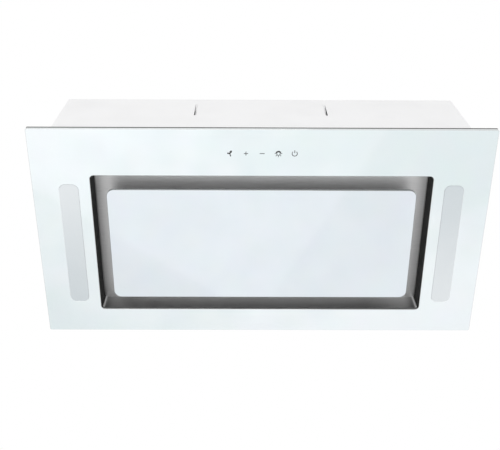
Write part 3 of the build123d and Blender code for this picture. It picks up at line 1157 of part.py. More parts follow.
MOTOR_CHAMFER = 5.0
with BuildPart() as motor_case:
    with BuildSketch(Plane.YZ.offset(MOTOR_FRONT)):
        with Locations((SCROLL_Y, SCROLL_AXIS_Z)):
            Circle(MOTOR_R)
    extrude(amount=-MOTOR_LENGTH)
    chamfer(motor_case.edges().filter_by(GeomType.CIRCLE).group_by(Axis.X)[0], length=MOTOR_CHAMFER)
    with BuildSketch(Plane.YZ.offset(MOTOR_FRONT)):
        with Locations((SCROLL_Y, SCROLL_AXIS_Z)):
            Circle(SHAFT_R + SHAFT_FIT)
    extrude(amount=-MOTOR_LENGTH + SHAFT_BLIND, mode=Mode.SUBTRACT)
save(motor_case, "motor_case")

MOTOR_PLATE_BORE_R = 8.0
with BuildPart() as motor_plate:
    with BuildSketch(Plane.YZ.offset(-SCROLL_OUTER)):
        with Locations((SCROLL_Y, SCROLL_AXIS_Z)):
            Circle(MOTOR_PLATE_R)
            Circle(MOTOR_PLATE_BORE_R, mode=Mode.SUBTRACT)
            with PolarLocations(MOTOR_PLATE_RING, MOTOR_PLATE_SCREWS):
                Circle(SMALL_SCREW_R + SCREW_FIT, mode=Mode.SUBTRACT)
    extrude(amount=-MOTOR_PLATE_T)
save(motor_plate, "motor_plate")

with BuildPart() as motor_mounts:
    with BuildSketch(Plane.YZ.offset(MOTOR_FRONT)):
        with Locations((SCROLL_Y, SCROLL_AXIS_Z)):
            with PolarLocations(MOUNT_RING, MOUNT_COUNT, start_angle=90):
                Circle(MOUNT_R)
    extrude(amount=MOUNT_T)
save(motor_mounts, "motor_mounts")

# Small screws of one size: light trays and touch box to the carrier, collar to the top plate,
# motor plate to the scroll.
with BuildPart() as small_screws:
    for foot, length, spots in (
        (GLASS_BACK_Z + SEAT_GAP, CARRIER_T - SEAT_GAP + LIGHT_TRAY_WALL, LIGHT_SCREWS),
        (GLASS_BACK_Z + SEAT_GAP, CARRIER_T - SEAT_GAP + TOUCH_BOX_WALL, TOUCH_SCREWS),
        (PLATE_Z, SHEET_T + COLLAR_FLANGE_T, COLLAR_SCREWS),
    ):
        with BuildSketch(Plane.XY.offset(foot)):
            with Locations(*spots):
                Circle(SMALL_SCREW_R)
        extrude(amount=length)
        with BuildSketch(Plane.XY.offset(foot + length)):
            with Locations(*spots):
                Circle(SMALL_HEAD_R)
                RegularPolygon(SMALL_DRIVE_R, 6, mode=Mode.SUBTRACT)
        extrude(amount=SMALL_HEAD_T)
    with BuildSketch(Plane.YZ.offset(-SCROLL_INNER)):
        with Locations((SCROLL_Y, SCROLL_AXIS_Z)):
            with PolarLocations(MOTOR_PLATE_RING, MOTOR_PLATE_SCREWS):
                Circle(SMALL_SCREW_R)
    extrude(amount=-SCROLL_T - MOTOR_PLATE_T)
    with BuildSketch(Plane.YZ.offset(-SCROLL_OUTER - MOTOR_PLATE_T)):
        with Locations((SCROLL_Y, SCROLL_AXIS_Z)):
            with PolarLocations(MOTOR_PLATE_RING, MOTOR_PLATE_SCREWS):
                Circle(SMALL_HEAD_R)
                RegularPolygon(SMALL_DRIVE_R, 6, mode=Mode.SUBTRACT)
    extrude(amount=-SMALL_HEAD_T)
save(small_screws, "small_screws")

with BuildPart() as motor_capacitor:
    with BuildSketch(Plane.XY.offset(PLATE_Z)):
        with Locations((CAPACITOR_X, CAPACITOR_Y)):
            Circle(CAPACITOR_R)
    extrude(amount=-CAPACITOR_HEIGHT)
    with BuildSketch(Plane.XY.offset(PLATE_Z)):
        with Locations((CAPACITOR_X, CAPACITOR_Y)):
            Circle(STUD_R)
    extrude(amount=SHEET_T + STUD_RISE)
save(motor_capacitor, "motor_capacitor")

with BuildPart() as capacitor_nut:
    with BuildSketch(Plane.XY.offset(BODY_HEIGHT)):
        with Locations((CAPACITOR_X, CAPACITOR_Y)):
            RegularPolygon(STUD_NUT_R, 6)
            Circle(STUD_R + SCREW_FIT, mode=Mode.SUBTRACT)
    extrude(amount=STUD_NUT_T)
save(capacitor_nut, "capacitor_nut")

# =====================================================================================
# Electrics: gland in the top plate, control box with board and terminals, lamp driver
# =====================================================================================
GLAND_HEX_R = 15.0
GLAND_HEX_T = 6.0
GLAND_DOME_R = 12.0
GLAND_DOME_T = 16.0
GLAND_TAPER = 8.0
GLAND_NUT_T = 5.0
GLAND_THREAD_LENGTH = 9.0
with BuildPart() as cable_gland:
    with BuildSketch(Plane.XY.offset(BODY_HEIGHT)):
        with Locations((GLAND_X, GLAND_Y)):
            RegularPolygon(GLAND_HEX_R, 6)
    extrude(amount=GLAND_HEX_T)
    with BuildSketch(Plane.XY.offset(BODY_HEIGHT + GLAND_HEX_T)):
        with Locations((GLAND_X, GLAND_Y)):
            Circle(GLAND_DOME_R)
    extrude(amount=GLAND_DOME_T, taper=GLAND_TAPER)
    with BuildSketch(Plane.XY.offset(BODY_HEIGHT)):
        with Locations((GLAND_X, GLAND_Y)):
            Circle(GLAND_THREAD_R)
    extrude(amount=-GLAND_THREAD_LENGTH)
    with BuildSketch(Plane.XY.offset(BODY_HEIGHT - GLAND_THREAD_LENGTH)):
        with Locations((GLAND_X, GLAND_Y)):
            Circle(GLAND_BORE_R)
    extrude(amount=GLAND_THREAD_LENGTH + GLAND_HEX_T + GLAND_DOME_T, mode=Mode.SUBTRACT)
save(cable_gland, "cable_gland")

with BuildPart() as gland_nut:
    with BuildSketch(Plane.XY.offset(PLATE_Z)):
        with Locations((GLAND_X, GLAND_Y)):
            RegularPolygon(GLAND_HEX_R, 6)
            Circle(GLAND_THREAD_R + SCREW_FIT, mode=Mode.SUBTRACT)
    extrude(amount=-GLAND_NUT_T)
save(gland_nut, "gland_nut")

BOX_SIZE = (150.0, 46.0, 96.0)
BOX_WALL = 2.0
BOX_FROM_PLATE = 95.0       # from the top plate down to the middle of the box
BOX_Z = PLATE_Z - BOX_FROM_PLATE
BOX_BACK = BODY_DEPTH / 2 - SHEET_T
BOX_FRONT = BOX_BACK - BOX_SIZE[1]
BOX_CORNER_R = 4.0
BOX_INNER_R = 3.0
BOX_POST_R = 4.0
POST_SET = 12.0
POST_X = BOX_SIZE[0] / 2 - POST_SET
POST_Z = BOX_SIZE[2] / 2 - POST_SET
POST_SPOTS = [(BOX_X + x * POST_X, BOX_Z + z * POST_Z) for x in (-1, 1) for z in (-1, 1)]
POST_HEIGHT = 12.0
CABLE_ENTRY_R = 9.0
with BuildPart() as control_box:
    with BuildSketch(Plane.XZ.offset(-BOX_BACK)):
        with Locations((BOX_X, BOX_Z)):
            RectangleRounded(BOX_SIZE[0], BOX_SIZE[2], BOX_CORNER_R)
    extrude(amount=BOX_SIZE[1])
    with BuildSketch(Plane.XZ.offset(-BOX_BACK + BOX_WALL)):
        with Locations((BOX_X, BOX_Z)):
            RectangleRounded(BOX_SIZE[0] - 2 * BOX_WALL, BOX_SIZE[2] - 2 * BOX_WALL, BOX_INNER_R)
    extrude(amount=BOX_SIZE[1], mode=Mode.SUBTRACT)
    with BuildSketch(Plane.XZ.offset(-BOX_BACK + BOX_WALL)):
        with Locations(*POST_SPOTS):
            Circle(BOX_POST_R)
    extrude(amount=POST_HEIGHT)
    with BuildSketch(Plane.XY.offset(BOX_Z + BOX_SIZE[2] / 2)):
        with Locations((GLAND_X, (BOX_BACK + BOX_FRONT) / 2)):
            Circle(CABLE_ENTRY_R)
    extrude(amount=-BOX_WALL, mode=Mode.SUBTRACT)
save(control_box, "control_box")

BOARD_EDGE_GAP = 2.0
BOARD_WIDTH = BOX_SIZE[0] - 2 * (BOX_WALL + BOARD_EDGE_GAP)
BOARD_HEIGHT = BOX_SIZE[2] - 2 * (BOX_WALL + BOARD_EDGE_GAP)
BOARD_BACK = BOX_BACK - BOX_WALL - POST_HEIGHT
BOARD_FACE = BOARD_BACK - BOARD_T
TRANSFORMER_SIZE = (32.0, 28.0)
TRANSFORMER_SPOT = (BOX_X - 0.3 * BOX_SIZE[0], BOX_Z - 0.16 * BOX_SIZE[2])
RELAY_SIZE = (16.0, 20.0)
RELAY_SPOTS = [(BOX_X + share * BOX_SIZE[0], BOX_Z - 0.2 * BOX_SIZE[2]) for share in (0.0, 0.13)]
RELAY_HEIGHT = 16.0
with BuildPart() as control_board:
    with BuildSketch(Plane.XZ.offset(-BOARD_BACK)):
        with Locations((BOX_X, BOX_Z)):
            Rectangle(BOARD_WIDTH, BOARD_HEIGHT)
    extrude(amount=BOARD_T)
    with BuildSketch(Plane.XZ.offset(-BOARD_FACE)):
        with Locations(TRANSFORMER_SPOT):
            Rectangle(*TRANSFORMER_SIZE)
        with Locations(*RELAY_SPOTS):
            Rectangle(*RELAY_SIZE)
    extrude(amount=RELAY_HEIGHT)
save(control_board, "control_board")

TERMINAL_SIZE = (52.0, 14.0, 16.0)
TERMINAL_WAYS = 5
TERMINAL_HOLE_R = 2.5
TERMINAL_HOLE_DEPTH = 6.0
TERMINAL_Z = BOX_Z + 0.25 * BOX_SIZE[2]
with BuildPart() as terminal_block:
    with BuildSketch(Plane.XZ.offset(-BOARD_FACE)):
        with Locations((BOX_X, TERMINAL_Z)):
            Rectangle(TERMINAL_SIZE[0], TERMINAL_SIZE[2])
    extrude(amount=TERMINAL_SIZE[1])
    with BuildSketch(Plane.XZ.offset(-BOARD_FACE + TERMINAL_SIZE[1])):
        with Locations((BOX_X, TERMINAL_Z)):
            with GridLocations(TERMINAL_SIZE[0] / TERMINAL_WAYS, 0, TERMINAL_WAYS, 1):
                Circle(TERMINAL_HOLE_R)
    extrude(amount=-TERMINAL_HOLE_DEPTH, mode=Mode.SUBTRACT)
save(terminal_block, "terminal_block")

LID_INNER = (BOX_SIZE[0] - 2 * BOX_WALL - SEAT_GAP, BOX_SIZE[2] - 2 * BOX_WALL - SEAT_GAP)
LID_HOLLOW = (BOX_SIZE[0] - 4 * BOX_WALL, BOX_SIZE[2] - 4 * BOX_WALL)
LID_HOLLOW_R = 2.0
with BuildPart() as control_lid:
    with BuildSketch(Plane.XZ.offset(-BOX_FRONT)):
        with Locations((BOX_X, BOX_Z)):
            RectangleRounded(BOX_SIZE[0], BOX_SIZE[2], BOX_CORNER_R)
    extrude(amount=BOX_WALL)
    with BuildSketch(Plane.XZ.offset(-BOX_FRONT)):
        with Locations((BOX_X, BOX_Z)):
            RectangleRounded(*LID_INNER, BOX_INNER_R)
            RectangleRounded(*LID_HOLLOW, LID_HOLLOW_R, mode=Mode.SUBTRACT)
    extrude(amount=-BOX_WALL)
save(control_lid, "control_lid")

DRIVER_SIZE = (120.0, 34.0, 28.0)
DRIVER_FROM_SIDE = 122.5
DRIVER_FROM_PLATE = 85.0
DRIVER_X = BODY_WIDTH / 2 - DRIVER_FROM_SIDE
DRIVER_Z = PLATE_Z - DRIVER_FROM_PLATE
DRIVER_FOOT = 12.0
DRIVER_FOOT_T = 2.0
DRIVER_FOOT_HEIGHT = 16.8
DRIVER_CORNER_R = 3.0
with BuildPart() as lamp_driver:
    with BuildSketch(Plane.XZ.offset(-BOX_BACK)):
        with Locations((DRIVER_X, DRIVER_Z)):
            RectangleRounded(DRIVER_SIZE[0], DRIVER_SIZE[2], DRIVER_CORNER_R)
    extrude(amount=DRIVER_SIZE[1])
    with BuildSketch(Plane.XZ.offset(-BOX_BACK)):
        with Locations((DRIVER_X, DRIVER_Z)):
            RectangleRounded(DRIVER_SIZE[0] + 2 * DRIVER_FOOT, DRIVER_FOOT_HEIGHT, DRIVER_CORNER_R)
    extrude(amount=DRIVER_FOOT_T)
save(lamp_driver, "lamp_driver")

# =====================================================================================
# Leads, clipped along the walls: touch keys, lights and motor
# =====================================================================================
LEAD_R = 3.0
LEAD_BEND = 12.0
TOUCH_LEAD_X = -60.0
LEAD_ABOVE_CEILING = 60.0
SIDE_RUN_SET = 27.5
SIDE_RUN_X = -(BODY_WIDTH / 2 - SIDE_RUN_SET)
BOX_MID_Y = (BOX_BACK + BOX_FRONT) / 2
BOX_LOW_Z = BOX_Z - BOX_SIZE[2] / 2
BOX_RIGHT_X = BOX_X + BOX_SIZE[0] / 2
TOUCH_BOX_TOP_Z = CARRIER_TOP_Z + TOUCH_BOX_HEIGHT
TRAY_TOP_Z = CARRIER_TOP_Z + LIGHT_TRAY_HEIGHT
MOTOR_REAR_X = MOTOR_FRONT - MOTOR_LENGTH
MOTOR_LEAD_Z = BOX_Z + 0.3 * BOX_SIZE[2]
MOTOR_LEAD_OUT = 60.0       # straight run out of the box, and into the motor
MOTOR_LEAD_LEAN = (70.0, 93.0, 10.0)     # the turn of the lead, from the corner of the box
MOTOR_LEAD_TURN = (
    BOX_RIGHT_X + MOTOR_LEAD_LEAN[0],
    BOX_FRONT - MOTOR_LEAD_LEAN[1],
    BOX_Z + MOTOR_LEAD_LEAN[2],
)
DRIVER_LOW_Z = DRIVER_Z - DRIVER_SIZE[2] / 2
DRIVER_MID_Y = BOX_BACK - DRIVER_SIZE[1] / 2
DRIVER_EXIT_SET = 12.0
DRIVER_END_X = DRIVER_X + DRIVER_SIZE[0] / 2 - DRIVER_EXIT_SET
LIGHT_ENTRY_SET = 44.0
LIGHT_ENTRY_Y = OPENING_Y + LIGHT_LENGTH / 2 - LIGHT_ENTRY_SET
BOX_LEAD_DROP = 34.0        # straight run below the control box
LEFT_LEAD_DROP = 70.0
RIGHT_LEAD_DROPS = (50.0, 100.0, 120.0)
RIGHT_LEAD_LEAN = 20.0
TOUCH_ROUTE = (
    (TOUCH_LEAD_X, KEY_Y, TOUCH_BOX_TOP_Z),
    (TOUCH_LEAD_X, KEY_Y, LEAD_ABOVE_CEILING),
    (SIDE_RUN_X, KEY_Y, LEAD_ABOVE_CEILING),
    (SIDE_RUN_X, LIGHT_ENTRY_Y, LEAD_ABOVE_CEILING),
    (BOX_X, BOX_MID_Y, BOX_LOW_Z - BOX_LEAD_DROP),
    (BOX_X, BOX_MID_Y, BOX_LOW_Z),
)
MOTOR_ROUTE = (
    (BOX_RIGHT_X, BOX_MID_Y, MOTOR_LEAD_Z),
    (BOX_RIGHT_X + MOTOR_LEAD_OUT, BOX_MID_Y, MOTOR_LEAD_Z),
    MOTOR_LEAD_TURN,
    (MOTOR_REAR_X - MOTOR_LEAD_OUT, SCROLL_Y, SCROLL_AXIS_Z),
    (MOTOR_REAR_X, SCROLL_Y, SCROLL_AXIS_Z),
)
LEFT_LIGHT_ROUTE = (
    (-LIGHT_X, BOX_MID_Y, BOX_LOW_Z),
    (-LIGHT_X, BOX_MID_Y, BOX_LOW_Z - BOX_LEAD_DROP),
    (-LIGHT_X, LIGHT_ENTRY_Y, BOX_LOW_Z - LEFT_LEAD_DROP),
    (-LIGHT_X, LIGHT_ENTRY_Y, TRAY_TOP_Z),
)
RIGHT_LIGHT_ROUTE = (
    (DRIVER_END_X, DRIVER_MID_Y, DRIVER_LOW_Z),
    (DRIVER_END_X, DRIVER_MID_Y, DRIVER_LOW_Z - RIGHT_LEAD_DROPS[0]),
    (LIGHT_X, LIGHT_ENTRY_Y + RIGHT_LEAD_LEAN, DRIVER_LOW_Z - RIGHT_LEAD_DROPS[1]),
    (LIGHT_X, LIGHT_ENTRY_Y, DRIVER_LOW_Z - RIGHT_LEAD_DROPS[2]),
    (LIGHT_X, LIGHT_ENTRY_Y, TRAY_TOP_Z),
)
DRIVER_ROUTE = (
    (BOX_RIGHT_X, DRIVER_MID_Y, DRIVER_Z),
    (DRIVER_X - DRIVER_SIZE[0] / 2, DRIVER_MID_Y, DRIVER_Z),
)
for name, routes in (
    ("touch_lead", (TOUCH_ROUTE,)),
    ("motor_lead", (MOTOR_ROUTE,)),
    ("light_leads", (LEFT_LIGHT_ROUTE, RIGHT_LIGHT_ROUTE, DRIVER_ROUTE)),
):
    with BuildPart() as leads:
        for route in routes:
            with BuildLine() as path:
                if len(route) > 2:
                    FilletPolyline(*route, radius=LEAD_BEND)
                else:
                    Polyline(*route)
            with BuildSketch(Plane(origin=path.line @ 0, z_dir=path.line % 0)):
                Circle(LEAD_R)
            sweep(path=path.line)
    save(leads, name)
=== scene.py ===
"""Looks of a ceiling range hood: finishes, fine metalwork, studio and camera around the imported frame."""

import logging
import math
from abc import ABC, abstractmethod
from dataclasses import dataclass
from enum import Enum
from typing import Any, Mapping, Sequence

import bpy
from mathutils import Matrix, Vector


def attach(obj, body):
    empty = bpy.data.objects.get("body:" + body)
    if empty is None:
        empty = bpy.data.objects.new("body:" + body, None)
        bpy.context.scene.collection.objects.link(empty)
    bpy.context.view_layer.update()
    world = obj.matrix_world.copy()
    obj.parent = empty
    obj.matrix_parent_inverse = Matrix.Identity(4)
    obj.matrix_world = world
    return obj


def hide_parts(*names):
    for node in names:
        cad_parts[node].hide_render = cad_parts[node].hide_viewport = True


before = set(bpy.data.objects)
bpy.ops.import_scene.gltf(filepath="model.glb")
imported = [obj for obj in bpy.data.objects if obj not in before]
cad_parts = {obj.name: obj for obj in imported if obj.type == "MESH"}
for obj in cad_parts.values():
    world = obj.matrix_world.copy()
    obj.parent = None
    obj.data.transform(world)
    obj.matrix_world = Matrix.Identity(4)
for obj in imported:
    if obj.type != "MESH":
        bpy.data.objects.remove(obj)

LOG = logging.getLogger("hood")
MM = 0.001
Point = tuple[float, float, float]
Colour = tuple[float, float, float, float]
Number = float | int


# ---- Node writing ----
class Wire:
    """An output socket that takes part in Python arithmetic; each expression adds its Math node."""

    def __init__(self, sheet: "NodeSheet", socket: bpy.types.NodeSocket) -> None:
        """Wraps a socket.

        Args:
            sheet: The node sheet that new nodes go on.
            socket: The output socket.
        """
        self.sheet = sheet
        self.socket = socket

    def _combine(self, operation: str, first: Any, second: Any) -> "Wire":
        """Adds one Math node for first and second."""
        return self.sheet.node("ShaderNodeMath", {"operation": operation}, {0: first, 1: second})

    def __add__(self, other: Any) -> "Wire":
        """Sum."""
        return self._combine("ADD", self, other)

    def __radd__(self, other: Any) -> "Wire":
        """Sum, reflected."""
        return self._combine("ADD", other, self)

    def __sub__(self, other: Any) -> "Wire":
        """Difference."""
        return self._combine("SUBTRACT", self, other)

    def __rsub__(self, other: Any) -> "Wire":
        """Difference, reflected."""
        return self._combine("SUBTRACT", other, self)

    def __mul__(self, other: Any) -> "Wire":
        """Product."""
        return self._combine("MULTIPLY", self, other)

    def __rmul__(self, other: Any) -> "Wire":
        """Product, reflected."""
        return self._combine("MULTIPLY", other, self)

    def __abs__(self) -> "Wire":
        """Size without sign."""
        return self.sheet.node("ShaderNodeMath", {"operation": "ABSOLUTE"}, {0: self})

    def __pow__(self, other: Any) -> "Wire":
        """Power."""
        return self._combine("POWER", self, other)

    def ramp(self, low: Number, high: Number, smooth: bool = True) -> "Wire":
        """Rises from 0 at low to 1 at high.

        Args:
            low: The value that gives 0.
            high: The value that gives 1.
            smooth: Whether both ends ease.

        Returns:
            The wire from 0 to 1.
        """
        kind = "SMOOTHSTEP" if smooth else "LINEAR"
        values = {"Value": self, "From Min": low, "From Max": high}
        return self.sheet.node("ShaderNodeMapRange", {"interpolation_type": kind}, values)

    def between(self, low: Number, high: Number) -> "Wire":
        """Stretches a wire that runs from 0 to 1, so that it runs from low to high."""
        return self * (high - low) + low


class NodeSheet:
    """A node tree that is written node by node."""

    def __init__(self, tree: bpy.types.NodeTree) -> None:
        """Starts on an empty tree."""
        self.tree = tree
        tree.nodes.clear()

    def raw(self, kind: str, settings: Mapping[str, Any], values: Mapping[Any, Any]) -> bpy.types.Node:
        """Adds a node of any kind.

        Args:
            kind: Blender's type name of the node.
            settings: Its properties, set first.
            values: Its inputs by name or index, each a value or a wire.

        Returns:
            The node.
        """
        made = self.tree.nodes.new(kind)
        for name, value in settings.items():
            setattr(made, name, value)
        for key, value in values.items():
            socket = made.inputs[key]
            if isinstance(value, Wire):
                self.tree.links.new(value.socket, socket)
            else:
                socket.default_value = value
        return made

    def node(
        self,
        kind: str,
        settings: Mapping[str, Any] | None = None,
        values: Mapping[Any, Any] | None = None,
        output: Any = 0,
    ) -> Wire:
        """Adds a node and gives one of its outputs, by name or index, as a wire."""
        return Wire(self, self.raw(kind, settings or {}, values or {}).outputs[output])

    def axis(self, source: Wire, letter: str) -> Wire:
        """One part, X, Y or Z, of a vector."""
        return self.node("ShaderNodeSeparateXYZ", {}, {0: source}, letter)


class Paint(NodeSheet):
    """The node sheet of one material."""

    def __init__(self, name: str) -> None:
        """Starts a material.

        Args:
            name: The material's name.
        """
        self.material = bpy.data.materials.new(name)
        self.material.use_nodes = True
        super().__init__(self.material.node_tree)
        self.spot = self.node("ShaderNodeTexCoord", output="Object")
        self.facing = self.node("ShaderNodeTexCoord", output="Normal")

    def stretched(self, x: Number, y: Number, z: Number) -> Wire:
        """The object coordinates, each axis times its own number."""
        return self.node("ShaderNodeVectorMath", {"operation": "MULTIPLY"}, {0: self.spot, 1: (x, y, z)})

    def noise(
        self, size_mm: float, detail: float = 2.0, where: Wire | None = None, rough: float = 0.5
    ) -> Wire:
        """A cloudy pattern from 0 to 1.

        Args:
            size_mm: The size of its blotches on unstretched coordinates.
            detail: How many finer layers it has.
            where: The coordinates, or None for the plain object coordinates.
            rough: How strong the finer layers are.

        Returns:
            The pattern.
        """
        values = {"Vector": where or self.spot, "Scale": 1.0 / (size_mm * MM)}
        return self.node("ShaderNodeTexNoise", {}, {**values, "Detail": detail, "Roughness": rough})

    def cells(self, size_mm: float, output: str = "Distance") -> Wire:
        """A pattern of cells of about that size, by the distance from their middles or by colour."""
        values = {"Vector": self.spot, "Scale": 1.0 / (size_mm * MM)}
        return self.node("ShaderNodeTexVoronoi", {}, values, output)

    def blend(self, low: Any, high: Any, factor: Any) -> Wire:
        """A colour that goes from low to high as factor goes from 0 to 1."""
        made = self.raw("ShaderNodeMix", {"data_type": "RGBA"}, {0: factor, 6: low, 7: high})
        return Wire(self, made.outputs[2])

    def bumped(self, height: Wire, depth_mm: float) -> Wire:
        """The normal of a relief whose height goes from 0 to 1 over that depth."""
        values = {"Height": height, "Strength": 1.0, "Distance": depth_mm * MM}
        return self.node("ShaderNodeBump", {}, values)

    def coated(
        self, links: Mapping[str, Any], constants: Mapping[str, Any] | None = None
    ) -> bpy.types.Material:
        """Ends the material in one Principled surface.

        Args:
            links: Sockets that vary over the surface, or plain values.
            constants: Sockets that are the same all over.

        Returns:
            The finished material.
        """
        shader = self.node("ShaderNodeBsdfPrincipled", {}, {**(constants or {}), **links})
        self.raw("ShaderNodeOutputMaterial", {}, {"Surface": shader})
        return self.material


def grey(value: float, warm: float = 0.0) -> Colour:
    """A grey in linear light, tipped towards yellow by warm or towards blue by minus warm."""
    return (value * (1 + warm), value, value * (1 - warm), 1.0)


# ---- Finishes ----
class Finish(ABC):
    """A surface finish that makes its material once."""

    made: dict[str, bpy.types.Material] = {}
    name: str

    @abstractmethod
    def paint(self) -> bpy.types.Material:
        """Writes the material's nodes."""

    def material(self) -> bpy.types.Material:
        """Gives the material, made at its first use.

        Returns:
            The material.
        """
        if self.name not in Finish.made:
            Finish.made[self.name] = self.paint()
        return Finish.made[self.name]


@dataclass(frozen=True)
class EnamelledGlass(Finish):
    """White enamel fired on the back of clear glass, with ground edges and arrises.

    The face runs from its dark tone to its light tone along a painted slope of light and shade across the
    glass, mixed with a random cloud. The edges of the opening, of the light slots beyond it and of the
    outer rim differ in tone as painted reflections: by default near black on the side edges of the opening,
    dark grey on its front and back edges, pale on the outer rim, and white at the light slots, where the
    arrises are white as well, as painted light over the slots' shade.
    """

    name: str
    # Ends of the painted slope of light and shade across the face.
    light: Colour
    dark: Colour
    # Edge tones as painted reflections; the white of the slot edges is painted light.
    side_edge_reflection: Colour = (0.004, 0.005, 0.005, 1.0)
    back_edge_reflection: Colour = (0.16, 0.165, 0.165, 1.0)
    window_edge_light: Colour = (0.93, 0.96, 0.97, 1.0)
    outer_edge_reflection: Colour = (0.66, 0.7, 0.7, 1.0)
    arris: Colour = (0.58, 0.6, 0.6, 1.0)
    opening_mm: tuple[float, float] = (340.0, 178.0)
    rim_mm: tuple[float, float] = (430.0, 215.0)
    step_mm: float = 3.0
    cloud_mm: float = 110.0
    cloud_share: float = 0.9
    shade_slant: float = 5.2
    hue_scale: float = 17.0
    hue_share: float = 0.035
    ground_mm: float = 0.9
    smear_mm: float = 35.0
    wave_mm: float = 60.0
    wave_depth_mm: float = 0.02
    ground_roughness: float = 0.85
    polish: float = 0.6

    def beyond(self, p: Paint, limits_mm: tuple[float, float]) -> Wire:
        """Marks what lies outside a rectangle about the middle of the glass.

        Args:
            p: The paint that it is written in.
            limits_mm: Half the rectangle's width and depth.

        Returns:
            A wire that is 1 outside and 0 inside.
        """
        inside: Wire | float = 1.0
        for letter, limit in zip(("X", "Y"), limits_mm):
            apart = abs(p.axis(p.spot, letter))
            inside = inside * (1 - apart.ramp(limit * MM, (limit + self.step_mm) * MM, False))
        return 1 - inside

    def paint(self) -> bpy.types.Material:
        """Writes the material's nodes.

        Returns:
            The material.
        """
        p = Paint(self.name)
        tilt = abs(p.axis(p.facing, "Z"))
        x, y = p.axis(p.spot, "X"), p.axis(p.spot, "Y")
        cloud = (p.noise(self.cloud_mm) - 0.5) * self.cloud_share
        # Painted light and shade: the face goes from its dark tone to its light tone along a saddle across
        # x and y and a rise along y, mixed with a random cloud.
        painted_slope = (x * y * self.shade_slant + y + cloud + 0.5).ramp(0.0, 1.0)
        values = {"Vector": p.spot, "Scale": self.hue_scale, "Detail": 1.0}
        hue = p.node("ShaderNodeTexNoise", {}, values, "Color")
        face = p.blend(p.blend(self.dark, self.light, painted_slope), hue, self.hue_share)
        outside, rim = self.beyond(p, self.opening_mm), self.beyond(p, self.rim_mm)
        # Painted reflections on the ground edges, with real grinding streaks: one tone for the side edges,
        # one for the front and back edges, a pale one at the outer rim, and white at the light slots as
        # painted light.
        edge = p.blend(self.side_edge_reflection, self.back_edge_reflection, abs(p.axis(p.facing, "Y")).ramp(0.6, 0.85))
        edge = p.blend(p.blend(edge, self.window_edge_light, outside), self.outer_edge_reflection, rim)
        ground = p.noise(self.ground_mm, 3.0, p.stretched(1.0, 1.0, 6.0))
        edge = p.blend(edge, grey(0.05), ground.ramp(0.5, 0.8) * 0.2)
        # The arrises at the light slots take the same white as painted light, so the slots show no shaded
        # outline.
        arris = p.blend(self.arris, self.window_edge_light, outside * (1 - rim))
        slope = p.blend(arris, face, tilt.ramp(0.8, 0.95))
        on_face = tilt.ramp(0.35, 0.6)
        matt = (1 - on_face) * (1 - outside)
        smear = p.noise(self.smear_mm, 4.0).ramp(0.3, 0.8)
        links = {
            "Base Color": p.blend(edge, slope, on_face),
            "Roughness": smear.between(0.05, 0.1) + matt * self.ground_roughness,
            "Coat Weight": (1 - matt) * self.polish,
            "Normal": p.bumped(p.noise(self.wave_mm, 1.0), self.wave_depth_mm),
        }
        return p.coated(links, {"IOR": 1.52, "Coat Roughness": 0.03})


@dataclass(frozen=True)
class FrostedLens(Finish):
    """Opal lens with a fine frost, and a painted slope of light and shade across it."""

    name: str = "frosted_lens"
    # Ends of the painted slope of light and shade across the lens.
    light: Colour = (0.735, 0.77, 0.79, 1.0)
    dark: Colour = (0.60, 0.65, 0.675, 1.0)
    cloud_mm: float = 70.0
    cloud_share: float = 0.3
    shade_slant: float = 9.0
    middle_mm: float = 20.0
    frost_mm: float = 0.5
    frost_depth_mm: float = 0.012

    def paint(self) -> bpy.types.Material:
        """Writes the material's nodes.

        Returns:
            The material.
        """
        p = Paint(self.name)
        cloud = (p.noise(self.cloud_mm) - 0.5) * self.cloud_share
        frost = p.noise(self.frost_mm)
        # Painted light and shade: a saddle across x and y about the lens's middle, from the dark tone to
        # the light tone, mixed with a random cloud.
        painted_slope = p.axis(p.spot, "X") * (p.axis(p.spot, "Y") - self.middle_mm * MM) * self.shade_slant
        links = {
            "Base Color": p.blend(self.dark, self.light, (painted_slope + cloud + 0.5).ramp(0.0, 1.0)),
            "Roughness": frost.between(0.38, 0.55),
            "Normal": p.bumped(frost, self.frost_depth_mm),
        }
        return p.coated(links, {"IOR": 1.49})


@dataclass(frozen=True)
class PrintedInk(Finish):
    """Fired ink of the key symbols, slightly uneven."""

    name: str = "symbol_ink"
    ink: float = 0.03
    speck_mm: float = 0.35
    speck_depth_mm: float = 0.006

    def paint(self) -> bpy.types.Material:
        """Writes the material's nodes.

        Returns:
            The material.
        """
        p = Paint(self.name)
        speck = p.noise(self.speck_mm, 3.0)
        links = {
            "Base Color": p.blend(grey(self.ink), grey(self.ink * 2.2), speck.ramp(0.45, 0.75)),
            "Roughness": speck.between(0.3, 0.5),
            "Normal": p.bumped(speck, self.speck_depth_mm),
        }
        return p.coated(links)


@dataclass(frozen=True)
class PowderCoat(Finish):
    """Baked powder paint with its orange peel."""

    name: str
    tone: Colour
    shade: Colour
    gloss: float = 0.42
    peel_mm: float = 1.1
    peel_depth_mm: float = 0.016
    cloud_mm: float = 90.0
    dust_mm: float = 0.6

    def paint(self) -> bpy.types.Material:
        """Writes the material's nodes.

        Returns:
            The material.
        """
        p = Paint(self.name)
        cloud = p.noise(self.cloud_mm, 3.0)
        dust = p.noise(self.dust_mm).ramp(0.66, 0.74)
        tone = p.blend(self.tone, self.shade, cloud.ramp(0.4, 0.75))
        links = {
            "Base Color": p.blend(tone, self.shade, dust * 0.5),
            "Roughness": cloud.between(self.gloss - 0.06, self.gloss + 0.08),
            "Normal": p.bumped(p.noise(self.peel_mm), self.peel_depth_mm),
        }
        return p.coated(links)


